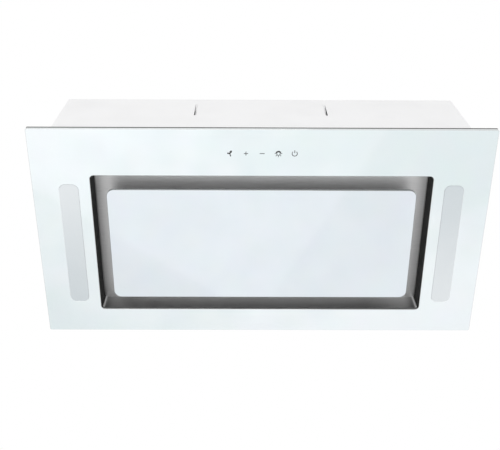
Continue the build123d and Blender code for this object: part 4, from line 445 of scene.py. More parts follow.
@dataclass(frozen=True)
class BrushedSteel(Finish):
    """Brushed stainless sheet of the trough, with long fine scratches along its bands, and with painted
    light and shade: near black short walls as painted shade, a painted highlight on the rounded corners,
    walls lighter towards the deck and darker towards both ends, and a deck painted darker beside the side
    walls, in a thin line at their foot, near the left wall and towards the rear, and lighter along the
    front.

    The bands beside the side walls are measured inwards from them.
    """

    name: str = "brushed_steel"
    # The ends of the painted shade on the deck and on the walls.
    deck: tuple[float, float] = (0.3, 0.97)
    wall: tuple[float, float] = (0.1, 0.7)
    # Painted shade of the short walls and painted highlight on the corner bends.
    short_wall_shade: float = 0.018
    bend_highlight: float = 0.8
    grain_mm: float = 0.35
    grain_depth_mm: float = 0.01
    streak: float = 0.012
    cloud_mm: float = 55.0
    half_width_mm: float = 336.0
    depths_mm: tuple[float, float] = (-112.0, 170.0)
    height_mm: float = 36.0
    # Painted shade beside the side walls, in a thin line at their foot and near the left and right walls; a
    # band of painted light along the front; and where the painted shade towards the rear starts.
    side_shade_band_mm: tuple[float, float] = (31.0, 0.0)
    foot_shade_band_mm: tuple[float, float] = (2.5, 0.5)
    left_shade_band_mm: tuple[float, float] = (106.0, 26.0)
    right_shade_band_mm: tuple[float, float] = (26.0, 6.0)
    front_light_band_mm: float = 32.0
    rear_shade_start_mm: float = 62.0

    def beside(self, distance: Wire, band_mm: tuple[float, float], smooth: bool = True) -> Wire:
        """Rises over a band beside a side wall, as the distance from the middle goes through it."""
        low, high = ((self.half_width_mm - inward) * MM for inward in band_mm)
        return distance.ramp(low, high, smooth)

    def paint(self) -> bpy.types.Material:
        """Writes the material's nodes.

        Returns:
            The material.
        """
        p = Paint(self.name)
        flat = abs(p.axis(p.facing, "Z")).ramp(0.5, 0.8)
        sideways = abs(p.axis(p.facing, "X"))
        on_wall = p.noise(self.grain_mm, 3.0, p.stretched(self.streak, self.streak, 1.0), 0.6)
        on_flat = p.noise(self.grain_mm, 3.0, p.stretched(self.streak, 1.0, 1.0), 0.6)
        grain = p.node("ShaderNodeMix", {"data_type": "FLOAT"}, {0: flat, 2: on_wall, 3: on_flat})
        across, along = p.axis(p.spot, "X"), p.axis(p.spot, "Y")
        front_y, back_y = self.depths_mm
        # Painted shade and light on the deck: darker beside the side walls, in a thin line at their foot,
        # near the left wall and towards the rear, and lighter along the front.
        outward = self.beside(abs(across), self.side_shade_band_mm, False)
        foot_shade = self.beside(abs(across), self.foot_shade_band_mm)
        left = self.beside(across * -1, self.left_shade_band_mm)
        right = self.beside(across, self.right_shade_band_mm)
        rear_shade = along.ramp((front_y + self.rear_shade_start_mm) * MM, back_y * MM, False)
        front = 1 - along.ramp(front_y * MM, (front_y + self.front_light_band_mm) * MM, False)
        # The deck's painted shade, with the darker scratches of the grain mixed in.
        shade = rear_shade * 0.16 + outward * 0.26 + foot_shade * 0.4 + left * 0.16 + grain.ramp(0.35, 0.7) * 0.15
        deck = p.blend(*(grey(tone) for tone in self.deck), 0.84 + front * 0.2 - shade)
        # Painted light and shade on the walls: lighter towards the deck and darker towards the left and
        # right ends, with the grain mixed in.
        wall_shade_and_grain = p.axis(p.spot, "Z").ramp(0.0, self.height_mm * MM, False) * 0.38 + 0.52
        wall_shade_and_grain = wall_shade_and_grain * (1 - left * 0.5 - right * 0.4) + (grain - 0.5) * 0.2
        walls = p.blend(*(grey(tone) for tone in self.wall), wall_shade_and_grain)
        # Painted shade: the short walls near black. Painted highlight: a bright line on the rounded corners
        # between the walls.
        side = sideways.ramp(0.55, 0.7) * (1 - flat)
        walls = p.blend(walls, grey(self.short_wall_shade), side)
        walls = p.blend(walls, grey(self.bend_highlight), (sideways * (1 - sideways)).ramp(0.2, 0.24))
        matt = (grain * 0.16 + p.noise(self.cloud_mm) * 0.1).ramp(0.0, 0.3, False)
        links = {
            "Base Color": p.blend(walls, deck, flat),
            "Metallic": (1 - side) * (1 - flat * (front * 0.4 + 0.2)),
            "Roughness": matt.between(0.36, 0.55) + side * 0.35,
            "Normal": p.bumped(grain, self.grain_depth_mm),
        }
        return p.coated(links)


@dataclass(frozen=True)
class PlatedMetal(Finish):
    """Plated or mill-finished metal with clouds, fine marks and a little stain."""

    name: str
    tone: float
    warm: float = 0.0
    gloss: float = 0.3
    flake_mm: float = 7.0
    mark_depth_mm: float = 0.008
    mark_mm: float = 0.7
    cloud_mm: float = 28.0

    def paint(self) -> bpy.types.Material:
        """Writes the material's nodes.

        Returns:
            The material.
        """
        p = Paint(self.name)
        flake = p.axis(p.cells(self.flake_mm, "Color"), "X")
        marks = p.noise(self.mark_mm, 4.0, p.stretched(1.0, 0.25, 0.25))
        cloud = p.noise(self.cloud_mm, 3.0)
        tone = p.blend(grey(self.tone, self.warm), grey(self.tone * 0.82, -self.warm), flake)
        links = {
            "Base Color": p.blend(tone, grey(self.tone * 0.6, 0.04), cloud.ramp(0.62, 0.9)),
            "Roughness": (flake * 0.35 + marks * 0.65).between(self.gloss - 0.08, self.gloss + 0.14),
            "Normal": p.bumped(marks, self.mark_depth_mm),
        }
        return p.coated(links, {"Metallic": 1.0})


@dataclass(frozen=True)
class MouldedPlastic(Finish):
    """Moulded plastic with an eroded grain and faint flow marks."""

    name: str
    tone: Colour
    shade: Colour
    gloss: float = 0.5
    grain_mm: float = 0.45
    grain_depth_mm: float = 0.02
    flow_mm: float = 30.0

    def paint(self) -> bpy.types.Material:
        """Writes the material's nodes.

        Returns:
            The material.
        """
        p = Paint(self.name)
        grain = p.noise(self.grain_mm, 3.0)
        flow = p.noise(self.flow_mm, where=p.stretched(1.0, 0.35, 1.0))
        links = {
            "Base Color": p.blend(self.tone, self.shade, flow.ramp(0.3, 0.75)),
            "Roughness": (grain * 0.6 + flow * 0.4).between(self.gloss - 0.1, self.gloss + 0.12),
            "Normal": p.bumped(grain, self.grain_depth_mm),
        }
        return p.coated(links)


@dataclass(frozen=True)
class CircuitBoard(Finish):
    """Solder mask over a maze of tracks, with tinned pads."""

    name: str
    mask: Colour
    track: Colour
    metallic: float = 0.0
    track_scale: float = 160.0
    track_depth_mm: float = 0.03
    pad_mm: float = 4.2
    cloud_mm: float = 3.0

    def paint(self) -> bpy.types.Material:
        """Writes the material's nodes.

        Returns:
            The material.
        """
        p = Paint(self.name)
        values = {"Vector": p.spot, "Scale": self.track_scale, "Mortar Size": 0.06}
        tracks = p.node("ShaderNodeTexBrick", {"offset": 0.35}, values, "Fac")
        pads = 1 - p.cells(self.pad_mm).ramp(0.16, 0.2)
        tone = p.blend(self.mask, self.track, tracks * 0.8)
        links = {
            "Base Color": p.blend(tone, grey(0.7, 0.02), pads * 0.7),
            "Roughness": p.noise(self.cloud_mm).between(0.25, 0.4),
            "Normal": p.bumped(tracks, self.track_depth_mm),
        }
        return p.coated(links, {"Metallic": self.metallic})


@dataclass(frozen=True)
class CellRubber(Finish):
    """Foam or rubber with open cells of one size."""

    name: str
    tones: tuple[float, float]
    cell_mm: float
    cell_depth_mm: float
    cloud_mm: float = 18.0

    def paint(self) -> bpy.types.Material:
        """Writes the material's nodes.

        Returns:
            The material.
        """
        p = Paint(self.name)
        cell = p.cells(self.cell_mm)
        links = {
            "Base Color": p.blend(grey(self.tones[0]), grey(self.tones[1]), cell.ramp(0.1, 0.7)),
            "Roughness": p.noise(self.cloud_mm, 3.0).between(0.75, 0.95),
            "Normal": p.bumped(cell, self.cell_depth_mm),
        }
        return p.coated(links)


FASCIA_GLASS = EnamelledGlass("enamelled_glass", (0.875, 0.925, 0.95, 1.0), (0.74, 0.82, 0.835, 1.0))
# The panel is the fascia's glass written darker and bluer as painted shade, and its edge tones are painted
# reflections of its own.
PANEL_GLASS = EnamelledGlass(
    "panel_enamel",
    (0.77, 0.83, 0.875, 1.0),
    (0.715, 0.77, 0.815, 1.0),
    side_edge_reflection=(0.45, 0.48, 0.49, 1.0),
    back_edge_reflection=(0.28, 0.3, 0.3, 1.0),
    arris=(0.34, 0.36, 0.36, 1.0),
)
BLACK_STEEL = PowderCoat("black_steel", grey(0.02), grey(0.03), 0.5)
LENS = FrostedLens()
INK = PrintedInk()
WHITE_STEEL = PowderCoat("white_steel", (0.895, 0.895, 0.9, 1.0), (0.87, 0.87, 0.875, 1.0))
STAINLESS = BrushedSteel()
ZINC = PlatedMetal("zinc_steel", 0.62, -0.015, 0.32)
FILTER_METAL = PlatedMetal("filter_aluminium", 0.72, 0.0, 0.3, 3.0)
MOTOR_METAL = PlatedMetal("motor_metal", 0.42, 0.0, 0.45, 2.0, 0.02)
NICKEL = PlatedMetal("magnet_metal", 0.66, 0.01, 0.16, 12.0, 0.003)
FOAM = CellRubber("gasket_foam", (0.03, 0.055), 0.8, 0.1)
RUBBER = CellRubber("soft_rubber", (0.02, 0.035), 0.3, 0.02)
BLACK_PLASTIC = MouldedPlastic("black_plastic", grey(0.016), grey(0.024))
GREY_PLASTIC = MouldedPlastic("grey_plastic", grey(0.2), grey(0.17))
WHITE_PLASTIC = MouldedPlastic("white_plastic", grey(0.72, 0.01), grey(0.66, 0.02))
LEAD_SLEEVE = MouldedPlastic("lead_sleeve", grey(0.55), grey(0.48), 0.42, 1.5, 0.03)
GREEN_BOARD = CircuitBoard("board_green", (0.01, 0.09, 0.03, 1.0), (0.02, 0.17, 0.06, 1.0))
WHITE_BOARD = CircuitBoard("board_white", grey(0.75), grey(0.62), 0.1)


def dress(finish: Finish, *nodes: str) -> None:
    """Gives CAD nodes a finish through their material slots.

    Args:
        finish: The finish.
        nodes: The names of the nodes.
    """
    for name in nodes:
        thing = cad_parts[name]
        if not thing.material_slots:
            thing.data.materials.append(None)
        for slot in thing.material_slots:
            slot.material = finish.material()
        LOG.info("%s is dressed in %s", name, finish.name)


# ---- Shapes written in nodes ----
class Drive(Enum):
    """The hole in the top of a fixing's head."""

    HEX = "hex"
    CROSS = "cross"
    ROUND = "round"


class Side(Enum):
    """A side of the hood, and its sign along X."""

    LEFT = -1
    RIGHT = 1


@dataclass(frozen=True)
class Spot:
    """A place in millimetres, and the direction that a fixing there faces."""

    x: float
    y: float
    z: float
    facing: Point = (0.0, 0.0, 1.0)


class Shape(NodeSheet):
    """A Geometry Nodes tree with named inputs for its sizes."""

    def __init__(self, name: str, sizes: Mapping[str, Any]) -> None:
        """Starts a tree.

        Args:
            name: The tree's name.
            sizes: Its inputs and their values: a float or a whole number each.
        """
        super().__init__(bpy.data.node_groups.new(name, "GeometryNodeTree"))
        self.sizes = dict(sizes)
        face = self.tree.interface
        face.new_socket(name="Geometry", in_out="INPUT", socket_type="NodeSocketGeometry")
        kinds = {int: "NodeSocketInt", float: "NodeSocketFloat"}
        self.keys = {
            key: face.new_socket(name=key, in_out="INPUT", socket_type=kinds[type(value)]).identifier
            for key, value in self.sizes.items()
        }
        face.new_socket(name="Geometry", in_out="OUTPUT", socket_type="NodeSocketGeometry")
        self.entry = self.raw("NodeGroupInput", {}, {})
        self.start = Wire(self, self.entry.outputs["Geometry"])

    def size(self, key: str) -> Wire:
        """One of the tree's named sizes."""
        return Wire(self, self.entry.outputs[key])

    def vector(self, x: Any = 0.0, y: Any = 0.0, z: Any = 0.0) -> Wire:
        """Three numbers or wires as one vector."""
        return self.node("ShaderNodeCombineXYZ", {}, {0: x, 1: y, 2: z})

    def moved(
        self, geometry: Wire, by: Any, turned: Point = (0.0, 0.0, 0.0), sized: Point = (1.0, 1.0, 1.0)
    ) -> Wire:
        """Geometry, sized and turned and then moved."""
        values = {"Geometry": geometry, "Translation": by, "Rotation": turned, "Scale": sized}
        return self.node("GeometryNodeTransform", {}, values)

    def joined(self, *parts: Wire) -> Wire:
        """Joins geometries.

        Args:
            parts: The geometries.

        Returns:
            All of them as one.
        """
        made = self.raw("GeometryNodeJoinGeometry", {}, {})
        for part in parts:
            self.tree.links.new(part.socket, made.inputs[0])
        return Wire(self, made.outputs[0])

    def swept(self, path: Wire, width: Wire, height: Wire, edge: Wire | None = None) -> Wire:
        """Sweeps a rectangle along curves and closes its ends.

        Args:
            path: The curves.
            width: The rectangle's size across.
            height: Its size upwards.
            edge: The radius of its corners, or None for sharp ones.

        Returns:
            The mesh.
        """
        values = {"Width": width, "Height": height}
        section = self.node("GeometryNodeCurvePrimitiveQuadrilateral", {"mode": "RECTANGLE"}, values)
        if edge is not None:
            values = {"Curve": section, "Radius": edge, "Count": 4}
            section = self.node("GeometryNodeFilletCurve", {"mode": "POLY"}, values)
        values = {"Curve": path, "Profile Curve": section, "Fill Caps": True}
        return self.node("GeometryNodeCurveToMesh", {}, values)

    def on_points(self, thing: Wire, spin: Any = 0.0) -> Wire:
        """Puts a thing on each point of the cloud, turned to the point's facing.

        Args:
            thing: The thing, drawn with its own +Z outwards.
            spin: Its turn about that axis, in radians.

        Returns:
            The instances.
        """
        named = {"data_type": "FLOAT_VECTOR"}
        facing = self.node("GeometryNodeInputNamedAttribute", named, {"Name": "facing"})
        values = {"Rotation": self.vector(z=spin), "Vector": facing}
        turn = self.node("FunctionNodeAlignRotationToVector", {"axis": "Z"}, values)
        values = {"Points": self.start, "Instance": thing, "Rotation": turn}
        return self.node("GeometryNodeInstanceOnPoints", {}, values)

    def finish(self, geometry: Wire, finish: Finish, smooth_angle: float | None = None) -> None:
        """Ends the tree in Realize Instances and Set Material.

        Args:
            geometry: What the tree makes.
            finish: The finish that it takes.
            smooth_angle: Edges below this angle, in degrees, are shaded smooth; None for all flat.
        """
        real = self.node("GeometryNodeRealizeInstances", {}, {"Geometry": geometry})
        if smooth_angle is not None:
            angle = self.node("GeometryNodeInputMeshEdgeAngle", output="Unsigned Angle")
            limit = {"data_type": "FLOAT", "operation": "LESS_THAN"}
            soft = self.node("FunctionNodeCompare", limit, {0: angle, 1: math.radians(smooth_angle)})
            for domain, on in (("FACE", True), ("EDGE", soft)):
                values = {0: real, "Shade Smooth": on}
                real = self.node("GeometryNodeSetShadeSmooth", {"domain": domain}, values)
        values = {"Geometry": real, "Material": finish.material()}
        ended = self.node("GeometryNodeSetMaterial", {}, values)
        self.raw("NodeGroupOutput", {}, {"Geometry": ended})

    def make(self, name: str, spots: Sequence[Spot] = (Spot(0.0, 0.0, 0.0),)) -> bpy.types.Object:
        """Runs the tree on a cloud of points and keeps its result as a plain mesh.

        Args:
            name: The name of the finished object.
            spots: The points.

        Returns:
            The finished object, at the origin.
        """
        cloud = bpy.data.meshes.new(name + "_cloud")
        cloud.from_pydata([(s.x * MM, s.y * MM, s.z * MM) for s in spots], [], [])
        outward = cloud.attributes.new("facing", "FLOAT_VECTOR", "POINT")
        for index, spot in enumerate(spots):
            outward.data[index].vector = spot.facing
        carrier = bpy.data.objects.new(name + "_carrier", cloud)
        bpy.context.scene.collection.objects.link(carrier)
        modifier = carrier.modifiers.new("shape", "NODES")
        modifier.node_group = self.tree
        for key, value in self.sizes.items():
            modifier[self.keys[key]] = value
        bpy.context.view_layer.update()
        evaluated = carrier.evaluated_get(bpy.context.evaluated_depsgraph_get())
        mesh = bpy.data.meshes.new_from_object(evaluated)
        mesh.name = name
        carrier.modifiers.remove(modifier)
        bpy.data.objects.remove(carrier)
        made = bpy.data.objects.new(name, mesh)
        bpy.context.scene.collection.objects.link(made)
        return made


def settle(piece: bpy.types.Object, body: str, slot: str, *stands_for: str) -> None:
    """Makes a piece ride, hides the CAD nodes that it replaces, and reports it.

    Args:
        piece: The piece.
        body: The body that it rides on.
        slot: The record's material slot; not used.
        stands_for: The nodes that it replaces.
    """
    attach(piece, body)
    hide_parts(*stands_for)
    LOG.info("%s rides on %s with %d faces", piece.name, body, len(piece.data.polygons))


@dataclass(frozen=True)
class Fixing:
    """One kind of screw or rivet: a crowned head with a drive, on a plain shank; in millimetres."""

    name: str
    head_r: float
    head_h: float
    shank_r: float
    drive: Drive
    drive_r: float
    drive_depth: float
    crown: float = 0.4
    shank_length: float = 2.0
    sides: int = 28
    bar_share: float = 0.36
    seed: int = 7
    finish: Finish = ZINC
    crown_steps: tuple[tuple[float, float], ...] = ((0.55, 0.9), (0.3, 0.8), (0.15, 0.7))
    round_sides: int = 20
    smooth_angle: float = 40.0

    def sizes(self) -> dict[str, float]:
        """Gives the tree's inputs.

        Returns:
            Each input by name, in metres.
        """
        return {
            "Head Radius": self.head_r * MM,
            "Rim Height": self.head_h * (1 - self.crown) * MM,
            "Crown Height": self.head_h * self.crown * MM,
            "Shank Radius": self.shank_r * MM,
            "Shank Length": self.shank_length * MM,
            "Drive Radius": self.drive_r * MM,
            "Drive Depth": self.drive_depth * MM,
        }

    def head(self, s: Shape) -> Wire:
        """Draws the head without its drive: a rim, and a crown in steps.

        Args:
            s: The tree.

        Returns:
            The head's mesh.
        """
        rim = s.size("Rim Height")
        values = {"Vertices": self.sides, "Radius": s.size("Head Radius"), "Depth": rim}
        drum = s.raw("GeometryNodeMeshCylinder", {"fill_type": "NGON"}, values)
        head = s.moved(Wire(s, drum.outputs["Mesh"]), s.vector(z=rim * 0.5))
        top = Wire(s, drum.outputs["Top"])
        for share, shrink in self.crown_steps:
            values = {"Mesh": head, "Selection": top, "Offset Scale": s.size("Crown Height") * share}
            raised = s.raw("GeometryNodeExtrudeMesh", {"mode": "FACES"}, values)
            top = Wire(s, raised.outputs["Top"])
            values = {"Geometry": Wire(s, raised.outputs["Mesh"]), "Selection": top, "Scale": shrink}
            head = s.node("GeometryNodeScaleElements", {"domain": "FACE"}, values)
        return head

    def cutters(self, s: Shape) -> list[Wire]:
        """Draws what is cut from the head for its drive.

        Args:
            s: The tree.

        Returns:
            The meshes to cut.
        """
        radius, depth = s.size("Drive Radius"), s.size("Drive Depth")
        centre = s.vector(z=s.size("Rim Height") + s.size("Crown Height"))
        if self.drive is Drive.CROSS:
            long_side, narrow = radius * 2, radius * self.bar_share
            plans = [s.vector(a, b, depth * 2) for a, b in ((long_side, narrow), (narrow, long_side))]
            bars = [s.node("GeometryNodeMeshCube", {}, {"Size": plan}) for plan in plans]
            return [s.moved(bar, centre) for bar in bars]
        corners = 6 if self.drive is Drive.HEX else self.round_sides
        values = {"Vertices": corners, "Radius": radius, "Depth": depth * 2}
        return [s.moved(s.node("GeometryNodeMeshCylinder", {}, values), centre)]

    def make(self, name: str, spots: Sequence[Spot]) -> bpy.types.Object:
        """Makes one of these at each spot, turned about its axis at random, from a fixed seed.

        Args:
            name: The name of the piece.
            spots: Where they are.

        Returns:
            The piece.
        """
        s = Shape(self.name + "_shape", self.sizes())
        head = self.head(s)
        for cutter in self.cutters(s):
            how = {"operation": "DIFFERENCE", "solver": "EXACT"}
            head = s.node("GeometryNodeMeshBoolean", how, {"Mesh 1": head, "Mesh 2": cutter})
        length = s.size("Shank Length")
        values = {"Vertices": self.sides // 2, "Radius": s.size("Shank Radius"), "Depth": length}
        shank = s.moved(s.node("GeometryNodeMeshCylinder", {}, values), s.vector(z=length * -0.5))
        values = {"Min": 0.0, "Max": math.tau, "Seed": self.seed}
        spin = s.node("FunctionNodeRandomValue", {"data_type": "FLOAT"}, values, 1)
        s.finish(s.on_points(s.joined(head, shank), spin), self.finish, self.smooth_angle)
        return s.make(name, spots)


# ---- Sub-assemblies, sizes in millimetres ----
@dataclass(frozen=True)
class Hull:
    """Sizes of the housing that more than one sub-assembly follows."""

    body_width: float = 845.0
    body_depth: float = 400.0
    body_top: float = 256.0
    carrier_top: float = -6.5
    flange_mid: float = 7.0
    sheet: float = 1.0
    collar_y: float = 40.0
    shaft_y: float = -21.0
    shaft_z: float = 150.0


HULL = Hull()


def ring(count: int, radius: float, first: float = 0.0) -> list[tuple[float, float]]:
    """Spaces places evenly on a circle.

    Args:
        count: How many there are.
        radius: The circle's radius.
        first: The turn of the first place, in degrees.

    Returns:
        How far across and up each is from the middle.
    """
    turns = [math.radians(first + 360 * index / count) for index in range(count)]
    return [(radius * math.cos(turn), radius * math.sin(turn)) for turn in turns]


class Assembly(ABC):
    """A sub-assembly of the hood."""

    @abstractmethod
    def build(self) -> None:
        """Makes its meshes and dresses its CAD nodes."""


@dataclass
class Fascia(Assembly):
    """Glass with its printed keys, on the steel carrier, with the foam strips against the ceiling."""

    seal_width: float = 898.6
    seal_depth: float = 453.6
    strip: float = 12.0
    edge_r: float = 1.2
    joint: float = 0.3

    def seal(self) -> None:
        """Lays four foam strips with butt joints: the long ones run through, the short ones fit between."""
        sizes = {
            "Half Width": self.seal_width / 2 * MM,
            "Half Depth": self.seal_depth / 2 * MM,
            "Strip": self.strip * MM,
            "Height": -HULL.carrier_top * MM,
            "Edge": self.edge_r * MM,
            "Joint": self.joint * MM,
        }
        s = Shape("seal_shape", sizes)
        half_x, half_y, strip = s.size("Half Width"), s.size("Half Depth"), s.size("Strip")
        inner_y = half_y - strip - s.size("Joint")
        lines = []
        for sign in (-1.0, 1.0):
            y, x = (half_y - strip * 0.5) * sign, (half_x - strip * 0.5) * sign
            for start, end in (
                (s.vector(half_x * -1.0, y), s.vector(half_x, y)),
                (s.vector(x, inner_y * -1.0), s.vector(x, inner_y)),
            ):
                lines.append(s.node("GeometryNodeCurvePrimitiveLine", {}, {"Start": start, "End": end}))
        strips = s.swept(s.joined(*lines), strip, s.size("Height"), s.size("Edge"))
        s.finish(s.moved(strips, s.vector(z=s.size("Height") * -0.5)), FOAM, 50.0)
        settle(s.make("ceiling_seal"), "hood", "gasket_foam", "ceiling_gasket")

    def build(self) -> None:
        """Makes the seal and dresses the rest."""
        self.seal()
        dress(FASCIA_GLASS, "fascia_glass")
        dress(INK, "touch_symbols")
        dress(BLACK_STEEL, "fascia_carrier")
        dress(GREEN_BOARD, "touch_board")
        dress(WHITE_PLASTIC, "touch_box")


@dataclass
class Lights(Assembly):
    """Opal lenses over strips of diodes, in plated trays."""

    sides: tuple[Side, ...] = (Side.LEFT, Side.RIGHT)

    def build(self) -> None:
        """Dresses both lights."""
        for side in self.sides:
            name = side.name.lower()
            dress(LENS, f"light_lens_{name}")
            dress(ZINC, f"light_tray_{name}")
        dress(WHITE_BOARD, "led_boards")


@dataclass
class CentrePanel(Assembly):
    """Hinged glass panel on its white tray, with hinges, catches and strikers."""

    tray: Finish = WHITE_STEEL
    ironwork: Finish = ZINC

    def build(self) -> None:
        """Dresses the panel and what carries it."""
        dress(PANEL_GLASS, "panel_glass")
        dress(self.tray, "panel_tray")
        dress(self.ironwork, "hinge_arms", "panel_strikers", "hinge_brackets", "hinge_pins")
        dress(BLACK_PLASTIC, "catch_holders")
        dress(NICKEL, "catch_magnets")


@dataclass
class Trough(Assembly):
    """Brushed recess round the panel, and the deck that closes it."""

    steel: Finish = STAINLESS

    def build(self) -> None:
        """Dresses the wall and the deck."""
        dress(self.steel, "recess_wall", "filter_deck")


@dataclass
class GreaseFilters(Assembly):
    """Two filters: layers of expanded aluminium in a frame, each with a latch."""

    x: float = 145.0
    y: float = 39.25
    width: float = 247.0
    depth: float = 181.5
    cell: tuple[float, float] = (11.0, 6.0)
    strand: tuple[float, float] = (0.9, 0.5)
    bottom: float = 39.9
    layer_step: float = 1.35
    layer_shift: float = 1.43
    layers: int = 3

    def diamonds(self, s: Shape) -> Wire:
        """Draws one sheet of diamonds as curves, cut to the frame.

        Args:
            s: The tree.

        Returns:
            The curves.
        """
        cell_x, cell_y = self.cell
        count = 2 * int(max(self.width / cell_x, self.depth / cell_y)) + 1
        span = float(count - 1)
        values = {"Size X": span, "Size Y": span, "Vertices X": count, "Vertices Y": count}
        grid = s.node("GeometryNodeMeshGrid", {}, values)
        turned = s.moved(grid, (0.0, 0.0, 0.0), (0.0, 0.0, math.radians(45)))
        half = math.sqrt(0.5) * MM
        lattice = s.moved(turned, (0.0, 0.0, 0.0), sized=(cell_x * half, cell_y * half, 1.0))
        spot = s.node("GeometryNodeInputPosition")
        over = []
        for letter, key in (("X", "Half Width"), ("Y", "Half Depth")):
            values = {0: abs(s.axis(spot, letter)), 1: s.size(key)}
            over.append(s.node("FunctionNodeCompare", {"operation": "GREATER_THAN"}, values))
        outside = s.node("FunctionNodeBooleanMath", {"operation": "OR"}, {0: over[0], 1: over[1]})
        kept = s.node("GeometryNodeDeleteGeometry", {"domain": "POINT"}, {0: lattice, "Selection": outside})
        return s.node("GeometryNodeMeshToCurve", {}, {"Mesh": kept})

    def pad(self, side: Side) -> None:
        """Stacks the sheets, each shifted against the one below.

        Args:
            side: The filter's side.
        """
        name = side.name.lower()
        margin = self.layer_shift * (self.layers - 1) + self.strand[0]
        sizes = {
            "Half Width": (self.width / 2 - margin) * MM,
            "Half Depth": (self.depth / 2 - self.strand[0]) * MM,
            "Strand Width": self.strand[0] * MM,
            "Strand Height": self.strand[1] * MM,
            "Layer Step": self.layer_step * MM,
            "Layer Shift": self.layer_shift * MM,
        }
        s = Shape(f"filter_pad_{name}_shape", sizes)
        sheet = s.swept(self.diamonds(s), s.size("Strand Width"), s.size("Strand Height"))
        steps = [
            s.moved(sheet, s.vector(x=s.size("Layer Shift") * index, z=s.size("Layer Step") * index))
            for index in range(self.layers)
        ]
        place = s.vector(side.value * self.x * MM, self.y * MM, self.bottom * MM)
        s.finish(s.moved(s.joined(*steps), place), FILTER_METAL)
        settle(s.make(f"filter_pad_{name}"), "hood", "filter_aluminium", f"filter_mesh_{name}")

    def build(self) -> None:
        """Makes both pads and dresses the frames and latches."""
        for side in Side:
            self.pad(side)
            dress(FILTER_METAL, f"filter_frame_{side.name.lower()}")
            dress(GREY_PLASTIC, f"filter_latch_{side.name.lower()}")


@dataclass
class Body(Assembly):
    """White steel housing with hanging brackets and riveted corners."""

    rivet_rows: int = 5
    rivet_margin: float = 24.0
    rivet: Fixing = Fixing("rivet", 3.2, 1.2, 1.6, Drive.ROUND, 1.0, 0.7, 0.6)

    def rivets(self) -> None:
        """Sets the rivets of the folded corners, one row at each."""
        low, high = HULL.carrier_top + self.rivet_margin, HULL.body_top - HULL.sheet - self.rivet_margin
        step = (high - low) / (self.rivet_rows - 1)
        spots = [
            Spot(
                side.value * HULL.body_width / 2,
                end * (HULL.body_depth / 2 - HULL.flange_mid),
                low + row * step,
                (float(side.value), 0.0, 0.0),
            )
            for side in Side
            for end in (-1, 1)
            for row in range(self.rivet_rows)
        ]
        settle(self.rivet.make("corner_rivets", spots), "hood", "zinc_steel", "body_rivets")

    def build(self) -> None:
        """Makes the rivets and dresses the sheets."""
        self.rivets()
        dress(WHITE_STEEL, "body_front", "body_back", "body_side_left", "body_side_right", "top_plate")
        dress(ZINC, "hanger_brackets")


@dataclass
class Blower(Assembly):
    """Scroll with its wheel and motor, on three rubber bobbins."""

    bobbin_r: float = 7.0
    bobbin_length: float = 6.0
    waist: float = 0.74
    bobbin_count: int = 3
    bobbin_ring: float = 34.0
    bobbin_x: float = -55.0
    first_turn: float = 90.0
    rings: int = 8
    sides: int = 32
    smooth_angle: float = 45.0

    def bobbins(self) -> None:
        """Turns the waisted rubber bobbins between motor and plate."""
        sizes = {"Radius": self.bobbin_r * MM, "Length": self.bobbin_length * MM, "Waist": self.waist}
        s = Shape("bobbin_shape", sizes)
        length, waist = s.size("Length"), s.size("Waist")
        values = {"Vertices": self.sides, "Side Segments": self.rings, "Depth": length}
        drum = s.node("GeometryNodeMeshCylinder", {}, {**values, "Radius": s.size("Radius")})
        spot = s.node("GeometryNodeInputPosition")
        x, y, z = (s.axis(spot, letter) for letter in "XYZ")
        from_middle = z * 2 * length ** -1.0
        girth = waist + (1 - waist) * from_middle * from_middle
        values = {0: drum, "Position": s.vector(x * girth, y * girth, z)}
        raised = s.moved(s.node("GeometryNodeSetPosition", {}, values), s.vector(z=length * 0.5))
        s.finish(s.on_points(raised), RUBBER, self.smooth_angle)
        spots = [
            Spot(self.bobbin_x, HULL.shaft_y + a, HULL.shaft_z + b, (1.0, 0.0, 0.0))
            for a, b in ring(self.bobbin_count, self.bobbin_ring, self.first_turn)
        ]
        settle(s.make("rubber_bobbins", spots), "hood", "soft_rubber", "motor_mounts")

    def build(self) -> None:
        """Makes the bobbins and dresses the rest."""
        self.bobbins()
        dress(BLACK_PLASTIC, "scroll_left", "scroll_right", "impeller")
        dress(ZINC, "motor_shaft", "motor_plate", "capacitor_nut")
        dress(MOTOR_METAL, "motor_case")
        dress(WHITE_PLASTIC, "motor_capacitor")


@dataclass
class DuctCollar(Assembly):
    """Moulded collar with two spring flaps on a steel pin."""

    plastic: Finish = BLACK_PLASTIC

    def build(self) -> None:
        """Dresses the collar, its flaps and their pin."""
        dress(self.plastic, "duct_collar", "flap_front", "flap_back")
        dress(ZINC, "flap_pin")


@dataclass
class Electrics(Assembly):
    """Gland, control box, lamp driver, receiver and the fixed leads between them."""

    shells: tuple[str, ...] = ("cable_gland", "gland_nut", "control_box", "control_lid")
    leads: tuple[str, ...] = ("touch_lead", "motor_lead", "light_leads")

    def build(self) -> None:
        """Dresses them."""
        dress(GREY_PLASTIC, *self.shells)
        dress(GREEN_BOARD, "control_board")
        dress(WHITE_PLASTIC, "terminal_block", "lamp_driver")
        dress(BLACK_PLASTIC, "ir_receiver")
        dress(LEAD_SLEEVE, *self.leads)


